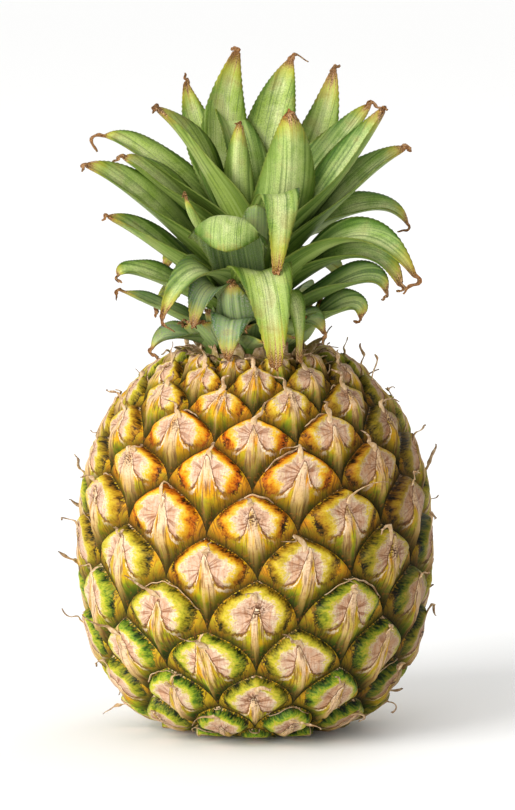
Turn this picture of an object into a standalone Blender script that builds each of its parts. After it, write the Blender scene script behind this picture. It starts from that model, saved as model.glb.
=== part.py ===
"""Pineapple with its leafy crown, standing on the cut end of its stalk.

Metres, Z up. The origin is the middle of the cut stalk, and the front faces -Y.
An azimuth of 0 faces the front, and one of 90 degrees faces +X.
"""

import math
import random

import bmesh
import bpy
from mathutils import Vector

MM = 0.001
PART_NAME = "pineapple"
GAP = 0.3 * MM

# Fruit body: two superellipse halves that meet at the belly, flat at both ends
FRUIT_HEIGHT = 141.0 * MM
BELLY_RADIUS = 62.3 * MM
BELLY_HEIGHT = 72.0 * MM
UPPER_REACH = 72.0 * MM
UPPER_POWER = 2.2
LOWER_REACH = 73.5 * MM
LOWER_POWER = 2.6
PROFILE_STEPS = 2000

# Eyes: level whorls, each turned half an eye from the one below
EYES_PER_WHORL = 11
WHORLS = 13
FIRST_WHORL_REACH = 6.8 * MM
WHORL_STEP_BASE = 6.0 * MM
WHORL_STEP_PER_RADIUS = 0.17
WHORL_STEP_FALL = 0.2
GRID_PER_STEP = 3
EYE_ARCH = 0.12
RIM_HEIGHT = 3.8 * MM
RIM_STEEPNESS = 0.09
SKIRT_REACH = 0.40
DISH_DEPTH = 0.14
RIDGE_HEIGHT = 1.0 * MM
RIDGE_WIDTH = 0.16
BOTTOM_FADE = 24.0 * MM
TOP_FADE = 8.0 * MM

# Dry bract tips, one on each eye
BRACT_SEED = 11
BRACT_FIRST_WHORL = 1
BRACT_LAST_WHORL = 10
BRACT_SIDES = 3
BRACT_LENGTH = 10.0 * MM
BRACT_ROOT_DEPTH = 2.2 * MM
BRACT_ROOT_RADIUS = 1.2 * MM
BRACT_TIP_RADIUS = 0.5 * MM
BRACT_PLACE = 0.50
BRACT_CURL = 1.1
BRACT_SWAY = 0.5

# Stalk stub, cut level with the bottom of the fruit
STALK_RADIUS = 14.2 * MM
STALK_HEIGHT = 5.7 * MM
STALK_EDGE = 0.6 * MM
STALK_SIDES = 24

# Crown stem
CROWN_SHIFT = -1.9 * MM
STEM_BOTTOM = FRUIT_HEIGHT + GAP
STEM_TOP = 189.0 * MM
STEM_BOTTOM_RADIUS = 17.5 * MM
STEM_TOP_RADIUS = 4.5 * MM
STEM_SIDES = 16
ROOT_DEPTH = 3.0 * MM

# Leaf blades
BLADE_THICKNESS = 1.5 * MM
BLADE_SEGMENTS = 6
BLADE_TAPER_POWER = 2.1
BLADE_TAPER_SHAPE = 0.8
BLADE_TIP_WIDTH = 1.5 * MM
BLADE_CHANNEL = math.radians(34.0)

# Leaves that the front shows, each with: azimuth and its drift towards the tip in degrees,
# root height, shoulder radius and height, tip radius and height, and width in millimetres
FRONT_LEAVES = (
    (-140, 0, 186, 15, 215, 8, 253, 19),
    (150, 0, 184, 15, 225, 31, 248, 19),
    (135, 0, 180, 32, 211, 45, 243, 17),
    (-130, 0, 184, 21, 214, 31, 239, 11),
    (-60, 0, 178, 21, 212, 40, 235, 21),
    (-20, 0, 180, 13, 205, 11, 228, 12),
    (40, 0, 165, 19, 202, 23, 232, 25),
    (110, 0, 180, 30, 211, 47, 231, 16),
    (75, 0, 172, 34, 207, 51, 233, 21),
    (85, 0, 168, 37, 202, 57, 217, 19),
    (100, 0, 174, 40, 196, 59, 189, 16),
    (60, 0, 160, 42, 187, 69, 174, 20),
    (78, 0, 165, 37, 190, 58, 176, 15),
    (75, 0, 152, 40, 176, 52, 167, 18),
    (70, 0, 145, 36, 163, 43, 157, 17),
    (24, -9, 178, 33, 203, 38, 176, 14),
    (4, 9, 158, 34, 174, 42, 142, 20),
    (31, 0, 155, 30, 165, 35, 143, 7),
    (-12, 0, 168, 36, 197, 46, 186, 22),
    (-50, 0, 172, 24, 188, 31, 201, 9),
    (-95, 0, 182, 36, 216, 54, 222, 17),
    (-80, 0, 178, 34, 207, 47, 215, 16),
    (-75, 0, 165, 40, 200, 62, 213, 22),
    (-65, 0, 160, 38, 185, 57, 194, 20),
    (-80, 0, 156, 38, 175, 49, 171, 15),
    (-70, 0, 147, 33, 161, 50, 166, 11),
    (-34, -9, 160, 31, 178, 46, 160, 14),
    (-37, 0, 152, 26, 170, 33, 155, 13),
    (-15, 0, 147, 23, 158, 27, 170, 15),
    (-37, 0, 144, 22, 151, 26, 159, 13),
    (-15, 0, 145, 26, 156, 31, 144, 14),
    (-75, 0, 144, 29, 151, 37, 145, 12),
    (6, 0, 168, 20, 184, 25, 199, 10),
    (48, 0, 148, 27, 160, 37, 158, 13),
)

# Leaves of the back, placed by the golden angle from the lowest to the highest
BACK_LEAVES = 15
BACK_START = 98.0
BACK_SPAN = 164.0
GOLDEN_PART = 0.618034
BACK_ROOT_LOW = 145.0
BACK_ROOT_RISE = 38.0
BACK_WIDTH = 19.0

# Short leaves that hug the foot of the stem at the sides and the back
FOOT_LEAVES = 6
FOOT_START = 96.0
FOOT_SPAN = 168.0
FOOT_SIZES = (0.0, 143.0, 23.0, 149.0, 29.0, 155.0, 16.0)

# Young leaves of the heart, which close the top of the stem
HEART_LEAVES = 5
HEART_ROOT = 184.0
HEART_LIFT = 30.0
HEART_WIDTH = 13.0
GOLDEN_TURN = 222.5

# Materials: colour, roughness
FRUIT_FINISH = ((0.62, 0.40, 0.12, 1.0), 0.55)
CROWN_FINISH = ((0.13, 0.24, 0.06, 1.0), 0.50)
STALK_FINISH = ((0.42, 0.33, 0.20, 1.0), 0.80)
METALLIC = 0.0


def profile_radius(height):
    """Radius of the groove floor at a height above the ground."""
    if height >= BELLY_HEIGHT:
        reach, power = UPPER_REACH, UPPER_POWER
    else:
        reach, power = LOWER_REACH, LOWER_POWER
    share = min(1.0, abs(height - BELLY_HEIGHT) / reach)
    return BELLY_RADIUS * (1.0 - share ** power) ** (1.0 / power)


class Profile:
    """The turned outline of the fruit, measured along its length and in whorls."""

    def __init__(self):
        self.points = [(profile_radius(FRUIT_HEIGHT * i / PROFILE_STEPS), FRUIT_HEIGHT * i / PROFILE_STEPS)
                       for i in range(PROFILE_STEPS + 1)]
        self.lengths = [0.0]
        for (r0, z0), (r1, z1) in zip(self.points, self.points[1:]):
            self.lengths.append(self.lengths[-1] + math.hypot(r1 - r0, z1 - z0))
        self.total = self.lengths[-1]
        self.whorls = self.place_whorls()

    def at_length(self, length):
        """Radius and height of the point at a length along the outline."""
        length = min(max(length, 0.0), self.total)
        low, high = 0, len(self.lengths) - 1
        while high - low > 1:
            middle = (low + high) // 2
            if self.lengths[middle] <= length:
                low = middle
            else:
                high = middle
        share = (length - self.lengths[low]) / (self.lengths[high] - self.lengths[low])
        (r0, z0), (r1, z1) = self.points[low], self.points[high]
        return r0 + (r1 - r0) * share, z0 + (z1 - z0) * share

    def place_whorls(self):
        """Lengths of the whorls' middles: the eyes shrink with the girth and towards the top."""
        lengths = [FIRST_WHORL_REACH]
        while len(lengths) < WHORLS:
            radius, height = self.at_length(lengths[-1])
            fall = 1.0 + WHORL_STEP_FALL * (BELLY_HEIGHT - height) / BELLY_HEIGHT
            lengths.append(lengths[-1] + (WHORL_STEP_BASE + WHORL_STEP_PER_RADIUS * radius) * fall)
        return lengths

    def length_of(self, whorl):
        """Length along the outline of a whorl number, which may be a fraction."""
        index = min(max(math.floor(whorl), 0), WHORLS - 2)
        low, high = self.whorls[index], self.whorls[index + 1]
        return low + (high - low) * (whorl - index)

    def point(self, azimuth, length, height=0.0):
        """Point over the outline at an azimuth, raised along the surface normal."""
        step = self.total / PROFILE_STEPS
        r0, z0 = self.at_length(length - step)
        r1, z1 = self.at_length(length + step)
        radius, z = self.at_length(length)
        slope = math.hypot(r1 - r0, z1 - z0)
        radius += height * (z1 - z0) / slope
        z -= height * (r1 - r0) / slope
        return Vector((radius * math.sin(azimuth), -radius * math.cos(azimuth), z))


def smooth_step(value):
    """Ease from 0 to 1 as the value goes from 0 to 1."""
    value = min(max(value, 0.0), 1.0)
    return value * value * (3.0 - 2.0 * value)


def eye_place(column, whorl):
    """The eye that holds a place of the lattice, and the place inside it.

    Columns count half eyes round the fruit. Inside an eye, a and b run from -0.5 to 0.5
    along its two pairs of sides, and both are 0.5 at its top corner.
    """
    base_column, base_whorl = round(column), round(whorl)
    centres = [(base_column + i, base_whorl + j) for i in (-1, 0, 1) for j in (-1, 0, 1)
               if (base_column + base_whorl + i + j) % 2 == 0]
    centre = min(centres, key=lambda c: (round(abs(column - c[0]) + abs(whorl - c[1]), 6), c))
    across, along = column - centre[0], whorl - centre[1]
    return centre, (along + across) / 2.0, (along - across) / 2.0


def bulge(value):
    """Parabola of 1 at the middle of an eye's side and 0 at its corners."""
    return 1.0 - (2.0 * value) ** 2


def eye_relief(a, b):
    """Height of an eye over the groove floor: steep rim above, gentle skirt below."""
    from_rim = 0.5 - max(a, b)
    from_foot = 0.5 + min(a, b)
    rim = 1.0 - math.exp(-max(from_rim, 0.0) / RIM_STEEPNESS)
    skirt = smooth_step(from_foot / SKIRT_REACH)
    dish = 1.0 - DISH_DEPTH * smooth_step((from_rim - RIM_STEEPNESS) / SKIRT_REACH)
    ridge = RIDGE_HEIGHT * math.exp(-((a - b) / RIDGE_WIDTH) ** 2) * rim * skirt
    return RIM_HEIGHT * rim * skirt * dish + ridge


def end_fade(profile, length):
    """Share of the relief that is left near the flat ends of the fruit."""
    return smooth_step(length / BOTTOM_FADE) * smooth_step((profile.total - length) / TOP_FADE)


def skin_point(profile, column, whorl):
    """Point of the fruit's skin at a place of the lattice, with the eyes' arched sides."""
    centre, a, b = eye_place(column, whorl)
    length = profile.length_of(whorl)
    fade = end_fade(profile, length)
    arched_a = a + EYE_ARCH * bulge(b) * fade
    arched_b = b + EYE_ARCH * bulge(a) * fade
    azimuth = (centre[0] + arched_a - arched_b) * math.pi / EYES_PER_WHORL
    length = profile.length_of(centre[1] + arched_a + arched_b)
    return profile.point(azimuth, length, eye_relief(a, b) * fade)


def ring_radii():
    """Rings that close the bottom: the recess for the stalk and the flat rim round it."""
    recess_radius = STALK_RADIUS + GAP
    return ((recess_radius, STALK_HEIGHT + GAP), (recess_radius, 0.0))


def lattice_rows(profile):
    """Whorl numbers of the skin's rows, from the bottom ring to the top ring."""
    bottom = -profile.whorls[0] / (profile.whorls[1] - profile.whorls[0])
    last_step = profile.whorls[-1] - profile.whorls[-2]
    top = WHORLS - 1 + (profile.total - profile.whorls[-1]) / last_step
    inner = [row / GRID_PER_STEP for row in range(-1, (WHORLS - 1) * GRID_PER_STEP + 1)]
    return [bottom] + inner + [top]


def new_object(name, mesh_data, collection):
    """Object from a finished bmesh."""
    mesh = bpy.data.meshes.new(name)
    bmesh.ops.recalc_face_normals(mesh_data, faces=mesh_data.faces)
    mesh_data.to_mesh(mesh)
    mesh_data.free()
    item = bpy.data.objects.new(name, mesh)
    collection.objects.link(item)
    return item


def split_along_grooves(mesh_data, corners):
    """Cut each square of the skin along the groove side that crosses it."""
    for face in list(mesh_data.faces):
        loops = list(face.verts)
        offsets = [corners.get(v) for v in loops]
        if len(loops) != 4 or None in offsets:
            continue
        first = offsets[0][0] + offsets[0][1]
        second = offsets[2][0] + offsets[2][1]
        rising = abs(first - second) > 1
        middle_column = sum(o[0] for o in offsets) / 4.0 / GRID_PER_STEP
        middle_row = sum(o[1] for o in offsets) / 4.0 / GRID_PER_STEP
        _, a, b = eye_place(middle_column, middle_row)
        start = 0 if rising == (abs(b) > abs(a)) else 1
        bmesh.utils.face_split(face, loops[start], loops[start + 2])


def build_skin(profile, collection):
    """The fruit's skin: one grid wrapped round the profile, with its eyes, closed at both ends."""
    columns = 2 * EYES_PER_WHORL * GRID_PER_STEP
    rows = lattice_rows(profile)
    rings = ring_radii()
    row_count = len(rings) + len(rows)
    mesh_data = bmesh.new()
    bmesh.ops.create_grid(mesh_data, x_segments=columns, y_segments=row_count - 1, size=0.5)
    corners = {}
    for vertex in mesh_data.verts:
        column = round((vertex.co.x + 0.5) * columns)
        row = round((vertex.co.y + 0.5) * (row_count - 1))
        azimuth = 2.0 * math.pi * column / columns
        if row < len(rings):
            radius, height = rings[row]
            vertex.co = Vector((radius * math.sin(azimuth), -radius * math.cos(azimuth), height))
        else:
            whorl = rows[row - len(rings)]
            vertex.co = skin_point(profile, column / GRID_PER_STEP, whorl)
            corners[vertex] = (column, round(whorl * GRID_PER_STEP))
    split_along_grooves(mesh_data, corners)
    bmesh.ops.remove_doubles(mesh_data, verts=mesh_data.verts, dist=0.01 * MM)
    open_edges = [edge for edge in mesh_data.edges if edge.is_boundary]
    bmesh.ops.holes_fill(mesh_data, edges=open_edges, sides=0)
    bmesh.ops.triangulate(mesh_data, faces=mesh_data.faces)
    return new_object("fruit", mesh_data, collection)


def bract_template():
    """A straight tip along Z from 0 to 1, with one ring halfway to bend at."""
    mesh_data = bmesh.new()
    bmesh.ops.create_cone(mesh_data, cap_ends=True, segments=BRACT_SIDES, depth=1.0,
                          radius1=BRACT_ROOT_RADIUS, radius2=BRACT_TIP_RADIUS)
    sides = [edge for edge in mesh_data.edges if abs(edge.verts[0].co.z - edge.verts[1].co.z) > 0.5]
    bmesh.ops.subdivide_edges(mesh_data, edges=sides, cuts=1)
    bmesh.ops.translate(mesh_data, verts=mesh_data.verts, vec=Vector((0.0, 0.0, 0.5)))
    bmesh.ops.triangulate(mesh_data, faces=mesh_data.faces)
    template = bpy.data.meshes.new("bract template")
    mesh_data.to_mesh(template)
    mesh_data.free()
    return template


def bend_bract_tip(vertices, profile, column, whorl, draw):
    """Set one tip on its eye's ridge, curling outward and up."""
    length = BRACT_LENGTH * draw.uniform(0.6, 1.0)
    sway = BRACT_SWAY * draw.uniform(-1.0, 1.0)
    curl = BRACT_CURL * draw.uniform(0.5, 1.0)
    azimuth = column * math.pi / EYES_PER_WHORL
    place = profile.length_of(whorl + BRACT_PLACE)
    root = profile.point(azimuth, place, RIM_HEIGHT - BRACT_ROOT_DEPTH)
    outward = (profile.point(azimuth, place, RIM_HEIGHT) - root).normalized()
    side = Vector((math.cos(azimuth), math.sin(azimuth), 0.0))
    up = side.cross(outward) * -1.0
    for vertex in vertices:
        share = vertex.co.z
        bend = curl * share * share * length * 0.5
        vertex.co = (root + outward * (share * length - 0.3 * bend) + up * (vertex.co.y + bend)
                     + side * (vertex.co.x + sway * share * share * length))


def build_bract_tips(profile, collection):
    """The dry tips of all the eyes, in one object."""
    draw = random.Random(BRACT_SEED)
    template = bract_template()
    mesh_data = bmesh.new()
    for whorl in range(BRACT_FIRST_WHORL, BRACT_LAST_WHORL + 1):
        for eye in range(EYES_PER_WHORL):
            before = len(mesh_data.verts)
            mesh_data.from_mesh(template)
            mesh_data.verts.ensure_lookup_table()
            bend_bract_tip(mesh_data.verts[before:], profile, 2 * eye + whorl % 2, whorl, draw)
    bpy.data.meshes.remove(template)
    return new_object("bract_tips", mesh_data, collection)


def keep_outer_skin(mesh):
    """Keep the largest closed skin of a mesh, which fills sealed hollows and drops loose scraps."""
    mesh_data = bmesh.new()
    mesh_data.from_mesh(mesh)
    waiting = set(mesh_data.faces)
    skins = []
    while waiting:
        edge_of_skin = [waiting.pop()]
        skin = list(edge_of_skin)
        while edge_of_skin:
            near = {face for edge in edge_of_skin.pop().edges for face in edge.link_faces} & waiting
            waiting -= near
            skin.extend(near)
            edge_of_skin.extend(near)
        skins.append(skin)
    skins.sort(key=len)
    spare = [face for skin in skins[:-1] for face in skin]
    bmesh.ops.delete(mesh_data, geom=spare, context="FACES")
    mesh_data.to_mesh(mesh)
    mesh_data.free()


def join_solids(body, operand_collection, solver):
    """Fuse a collection's solids into the body and remove them."""
    union = body.modifiers.new("union", "BOOLEAN")
    union.operation = "UNION"
    union.operand_type = "COLLECTION"
    union.collection = operand_collection
    union.solver = solver
    graph = bpy.context.evaluated_depsgraph_get()
    joined = bpy.data.meshes.new_from_object(body.evaluated_get(graph))
    keep_outer_skin(joined)
    body.modifiers.clear()
    body.data = joined
    for item in list(operand_collection.objects):
        bpy.data.objects.remove(item, do_unlink=True)
    bpy.data.collections.remove(operand_collection)


def stem_radius(height):
    """Radius of the crown's stem at a height above the ground."""
    share = (height - STEM_BOTTOM) / (STEM_TOP - STEM_BOTTOM)
    return STEM_BOTTOM_RADIUS + (STEM_TOP_RADIUS - STEM_BOTTOM_RADIUS) * share


def blade_frame(leaf, share):
    """Middle line of a leaf: its point, and its sideways and upper-face directions."""
    azimuth_start, drift = leaf[:2]
    root_z, shoulder_r, shoulder_z, tip_r, tip_z = (value * MM for value in leaf[2:7])
    root_r = stem_radius(root_z) - ROOT_DEPTH
    pull_r = 2.0 * shoulder_r - (root_r + tip_r) / 2.0
    pull_z = 2.0 * shoulder_z - (root_z + tip_z) / 2.0
    rest = 1.0 - share
    radius = rest * rest * root_r + 2.0 * share * rest * pull_r + share * share * tip_r
    height = rest * rest * root_z + 2.0 * share * rest * pull_z + share * share * tip_z
    slope_r = rest * (pull_r - root_r) + share * (tip_r - pull_r)
    slope_z = rest * (pull_z - root_z) + share * (tip_z - pull_z)
    size = math.hypot(slope_r, slope_z)
    azimuth = math.radians(azimuth_start + drift * share)
    outward = Vector((math.sin(azimuth), -math.cos(azimuth), 0.0))
    side = Vector((math.cos(azimuth), math.sin(azimuth), 0.0))
    upper = (outward * -slope_z + Vector((0.0, 0.0, slope_r))) / size
    point = outward * radius + Vector((CROWN_SHIFT, 0.0, height))
    return point, side, upper


def blade_half_width(leaf, share):
    """Half the width of a leaf, widest at its root and drawn to a narrow tip."""
    taper = (1.0 - share ** BLADE_TAPER_POWER) ** BLADE_TAPER_SHAPE
    return max(leaf[7] * MM * taper, BLADE_TIP_WIDTH) / 2.0


def build_leaf(index, leaf, collection):
    """One channelled blade, a bent grid with a thickness."""
    mesh_data = bmesh.new()
    bmesh.ops.create_grid(mesh_data, x_segments=2, y_segments=BLADE_SEGMENTS, size=0.5)
    for vertex in mesh_data.verts:
        across, share = 2.0 * vertex.co.x, vertex.co.y + 0.5
        point, side, upper = blade_frame(leaf, share)
        half = blade_half_width(leaf, share)
        vertex.co = (point + side * (across * half * math.cos(BLADE_CHANNEL))
                     + upper * (abs(across) * half * math.sin(BLADE_CHANNEL)))
    item = new_object(f"leaf_{index:02d}", mesh_data, collection)
    shell = item.modifiers.new("thickness", "SOLIDIFY")
    shell.thickness = BLADE_THICKNESS
    shell.offset = 0.0


def back_leaf(index):
    """Sizes of one leaf of the back, worked out from its turn in the golden angle."""
    rise = index / (BACK_LEAVES - 1)
    azimuth = BACK_START + BACK_SPAN * ((index + 0.5) * GOLDEN_PART % 1.0)
    root_z = BACK_ROOT_LOW + BACK_ROOT_RISE * rise
    tip_r = 46.0 + 24.0 * math.sin(math.pi * rise) - 14.0 * rise
    tip_z = root_z + 8.0 + 54.0 * rise * rise + 6.0 * rise
    shoulder_r = 0.66 * tip_r - 6.0 * rise
    shoulder_z = root_z + 15.0 + 19.0 * rise
    return azimuth, 0.0, root_z, shoulder_r, shoulder_z, tip_r, tip_z, BACK_WIDTH


def heart_leaf(index):
    """Sizes of one young leaf of the heart, each a little taller and steeper than the last."""
    rise = index / (HEART_LEAVES - 1)
    azimuth = (index * GOLDEN_TURN) % 360.0
    tip_z = HEART_ROOT + HEART_LIFT * (0.8 + 0.5 * rise)
    tip_r = 10.0 - 6.0 * rise
    return azimuth, 0.0, HEART_ROOT, 8.0, HEART_ROOT + HEART_LIFT / 2.0, tip_r, tip_z, HEART_WIDTH


def build_crown(collection):
    """The crown: its short stem with every leaf fused to it."""
    leaves = bpy.data.collections.new("leaves")
    bpy.context.scene.collection.children.link(leaves)
    back = [back_leaf(index) for index in range(BACK_LEAVES)]
    foot = [(FOOT_START + FOOT_SPAN * index / (FOOT_LEAVES - 1), *FOOT_SIZES) for index in range(FOOT_LEAVES)]
    heart = [heart_leaf(index) for index in range(HEART_LEAVES)]
    for index, leaf in enumerate([*FRONT_LEAVES, *back, *foot, *heart]):
        build_leaf(index, leaf, leaves)
    mesh_data = bmesh.new()
    cone = bmesh.ops.create_cone(mesh_data, cap_ends=True, segments=STEM_SIDES, depth=STEM_TOP - STEM_BOTTOM,
                                 radius1=STEM_BOTTOM_RADIUS, radius2=STEM_TOP_RADIUS)
    middle = Vector((CROWN_SHIFT, 0.0, (STEM_TOP + STEM_BOTTOM) / 2.0))
    bmesh.ops.translate(mesh_data, verts=cone["verts"], vec=middle)
    crown = new_object("crown", mesh_data, collection)
    join_solids(crown, leaves, "MANIFOLD")
    return crown


def build_stalk(collection):
    """The stub of the stalk in the fruit's recess, with a flat cut face on the ground."""
    mesh_data = bmesh.new()
    disc = bmesh.ops.create_cone(mesh_data, cap_ends=True, segments=STALK_SIDES, depth=STALK_HEIGHT,
                                 radius1=STALK_RADIUS, radius2=STALK_RADIUS)
    bmesh.ops.translate(mesh_data, verts=disc["verts"], vec=Vector((0.0, 0.0, STALK_HEIGHT / 2.0)))
    stalk = new_object("stalk", mesh_data, collection)
    bevel = stalk.modifiers.new("cut edge", "BEVEL")
    bevel.width = STALK_EDGE
    bevel.segments = 1
    bevel.limit_method = "ANGLE"
    return stalk


def add_finish(item, name, finish):
    """Give an object its own plain material."""
    colour, roughness = finish
    material = bpy.data.materials.new(name)
    material.use_nodes = True
    shader = material.node_tree.nodes["Principled BSDF"]
    shader.inputs["Base Color"].default_value = colour
    shader.inputs["Roughness"].default_value = roughness
    shader.inputs["Metallic"].default_value = METALLIC
    item.data.materials.clear()
    item.data.materials.append(material)


def main():
    """Build the fruit, the crown and the stalk."""
    for item in list(bpy.data.objects):
        bpy.data.objects.remove(item, do_unlink=True)
    collection = bpy.data.collections.new(PART_NAME)
    bpy.context.scene.collection.children.link(collection)
    tips = bpy.data.collections.new("tips")
    bpy.context.scene.collection.children.link(tips)
    profile = Profile()
    fruit = build_skin(profile, collection)
    build_bract_tips(profile, tips)
    join_solids(fruit, tips, "EXACT")
    crown = build_crown(collection)
    stalk = build_stalk(collection)
    add_finish(fruit, "ripe rind", FRUIT_FINISH)
    add_finish(crown, "fresh leaf", CROWN_FINISH)
    add_finish(stalk, "cut stalk", STALK_FINISH)


main()
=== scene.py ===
"""Looks of the pineapple: rind with its eyes, dry bracts, leafy crown and cut stalk.

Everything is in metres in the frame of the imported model, Z up, with the front facing -Y.
An azimuth of 0 faces the front, and one of 90 degrees faces +X.
"""

import logging
import math
import random
from dataclasses import dataclass, field
from enum import Enum
from typing import Any, Iterable, Sequence

import bpy
import numpy as np
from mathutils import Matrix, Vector


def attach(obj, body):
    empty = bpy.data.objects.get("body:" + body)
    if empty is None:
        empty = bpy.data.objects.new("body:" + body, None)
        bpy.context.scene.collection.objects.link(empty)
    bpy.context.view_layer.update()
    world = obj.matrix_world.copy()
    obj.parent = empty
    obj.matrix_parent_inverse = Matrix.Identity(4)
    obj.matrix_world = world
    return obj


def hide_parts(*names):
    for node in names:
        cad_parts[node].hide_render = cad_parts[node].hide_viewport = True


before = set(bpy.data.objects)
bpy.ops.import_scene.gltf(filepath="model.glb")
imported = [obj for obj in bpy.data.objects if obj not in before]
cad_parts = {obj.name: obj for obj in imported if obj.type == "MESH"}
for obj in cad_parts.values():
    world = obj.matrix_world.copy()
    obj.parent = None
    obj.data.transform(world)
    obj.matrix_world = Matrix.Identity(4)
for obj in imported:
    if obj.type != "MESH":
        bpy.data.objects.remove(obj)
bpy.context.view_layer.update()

MM = 0.001
BODY = "root"
LOG = logging.getLogger("pineapple")

Socket = bpy.types.NodeSocket
Colour = tuple[float, float, float, float]


class Slot(Enum):
    """Material slots."""

    RIND = "rind"
    LEAF = "leaf"
    STALK = "stalk"


def srgb(code: str) -> Colour:
    """Turn an sRGB hex colour to linear.

    Args:
        code: six hex digits after a hash sign.

    Returns:
        Linear red, green, blue and an alpha of 1.
    """
    values = [int(code[i:i + 2], 16) / 255.0 for i in (1, 3, 5)]
    red, green, blue = (v / 12.92 if v <= 0.04045 else ((v + 0.055) / 1.055) ** 2.4 for v in values)
    return red, green, blue, 1.0


def add_node(tree: bpy.types.NodeTree, kind: str, links: dict | None = None,
             **settings: Any) -> bpy.types.Node:
    """Add one node with its settings and links.

    Args:
        tree: the material's node tree.
        kind: Blender's name of the node type, without its first word.
        links: input name or number to a socket to link from, or to a plain value.
        settings: attributes of the node; `stops` gives a colour ramp its places and colours.

    Returns:
        The new node.
    """
    node = tree.nodes.new("ShaderNode" + kind)
    stops = settings.pop("stops", None)
    for name, value in settings.items():
        setattr(node, name, value)
    if stops:
        elements = node.color_ramp.elements
        while len(elements) < len(stops):
            elements.new(1.0)
        for element, (place, code) in zip(elements, stops):
            element.position = place
            element.color = srgb(code)
    for key, value in (links or {}).items():
        if isinstance(value, bpy.types.NodeSocket):
            tree.links.new(value, node.inputs[key])
        else:
            node.inputs[key].default_value = value
    return node


@dataclass
class Surface:
    """A material in the making: its tree, and the steps that the finishes share."""

    name: str
    material: bpy.types.Material = field(init=False)
    tree: bpy.types.NodeTree = field(init=False)

    def __post_init__(self) -> None:
        """Start from Blender's own plain material."""
        self.material = bpy.data.materials.new(self.name)
        self.material.use_nodes = True
        self.tree = self.material.node_tree

    def mesh_fields(self, *labels: str) -> list[tuple[Socket, Any]]:
        """Read vector fields that the mesh carries.

        Args:
            labels: the fields' names.

        Returns:
            The vector and its three parts, for each field.
        """
        made = []
        for label in labels:
            vector = add_node(self.tree, "Attribute", attribute_name=label).outputs["Vector"]
            made.append((vector, add_node(self.tree, "SeparateXYZ", {0: vector}).outputs))
        return made

    def grain(self, place: Socket, detail: float, scale: float = 1.0, stretch: tuple | None = None,
              distortion: float = 0.0) -> Socket:
        """Cloudy noise, or streaks where the place is stretched.

        Args:
            place: where on the surface.
            detail: how many finer layers it has.
            scale: clouds in each unit of the place.
            stretch: clouds in each unit along each part of the place.
            distortion: how far the clouds are pulled about.

        Returns:
            The noise, about 0.5 on average.
        """
        if stretch:
            place = add_node(self.tree, "Mapping", {"Vector": place, "Scale": stretch}).outputs[0]
        settings = {"Vector": place, "Scale": scale, "Detail": detail, "Distortion": distortion}
        return add_node(self.tree, "TexNoise", settings).outputs["Fac"]

    def mask(self, source: Socket, span: tuple[float, float], strength: tuple[float, float] = (0.0, 1.0),
             thinned: Sequence[Socket] = ()) -> Socket:
        """Turn a value to a mask.

        Args:
            source: the value.
            span: the value at the mask's start and at its end, which may be the lower one.
            strength: the mask at its start and at its end.
            thinned: values that the mask is multiplied by.

        Returns:
            The mask.
        """
        limits = {"From Min": span[0], "From Max": span[1], "To Min": strength[0], "To Max": strength[1]}
        made = add_node(self.tree, "MapRange", {"Value": source, **limits}).outputs[0]
        for other in thinned:
            made = add_node(self.tree, "Math", {0: made, 1: other}, operation="MULTIPLY").outputs[0]
        return made

    def coated(self, under: Socket, over: Socket | str, source: Socket, span: tuple[float, float],
               strength: tuple[float, float] = (0.0, 1.0), thinned: Sequence[Socket] = ()) -> Socket:
        """Lay a colour over another by a mask.

        Args:
            under: the lower colour.
            over: the upper colour, or its hex code.
            source: the value that the mask is made from.
            span: the value at the mask's start and at its end.
            strength: the mask at its start and at its end.
            thinned: values that the mask is multiplied by.

        Returns:
            The colour that results.
        """
        upper = srgb(over) if isinstance(over, str) else over
        links = {0: self.mask(source, span, strength, thinned), 6: under, 7: upper}
        return add_node(self.tree, "Mix", links, data_type="RGBA").outputs[2]

    def finished(self, colour: Socket, relief: Socket, relief_mm: float, strength: float,
                 **shader: Any) -> bpy.types.Material:
        """Join colour, fine relief and gloss to the shader.

        Args:
            colour: the surface's colour.
            relief: height of the fine relief, from 0 to 1.
            relief_mm: how high a relief of 1 stands.
            strength: how much of the relief shows.
            shader: the shader's other inputs, with a line for each blank in their names.

        Returns:
            The finished material.
        """
        bump = add_node(self.tree, "Bump", {"Strength": strength, "Distance": relief_mm * MM, "Height": relief})
        inputs = self.tree.nodes["Principled BSDF"].inputs
        self.tree.links.new(bump.outputs[0], inputs["Normal"])
        self.tree.links.new(colour, inputs["Base Color"])
        for label, value in shader.items():
            target = inputs[label.replace("_", " ")]
            if isinstance(value, bpy.types.NodeSocket):
                self.tree.links.new(value, target)
            else:
                target.default_value = value
        return self.material


def smooth_step(value: np.ndarray) -> np.ndarray:
    """Ease from 0 to 1 as the value goes from 0 to 1."""
    value = np.clip(value, 0.0, 1.0)
    return value * value * (3.0 - 2.0 * value)


def mesh_piece(name: str, points: np.ndarray, faces: np.ndarray, fields: dict[str, np.ndarray],
               material: bpy.types.Material) -> bpy.types.Object:
    """Make a smooth mesh object with vector fields on its face corners.

    Args:
        name: the piece's name.
        points: vertex positions, one row each.
        faces: vertex numbers of the quads, one row each.
        fields: field name to one vector for each face corner.
        material: the piece's finish.

    Returns:
        The new object, linked to the scene.
    """
    mesh = bpy.data.meshes.new(name)
    mesh.from_pydata(points.tolist(), [], faces.tolist())
    for label, values in fields.items():
        layer = mesh.attributes.new(label, "FLOAT_VECTOR", "CORNER")
        layer.data.foreach_set("vector", np.ascontiguousarray(values, dtype=np.float32).ravel())
    mesh.materials.append(material)
    mesh.shade_smooth()
    piece = bpy.data.objects.new(name, mesh)
    bpy.context.scene.collection.objects.link(piece)
    return piece


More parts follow.
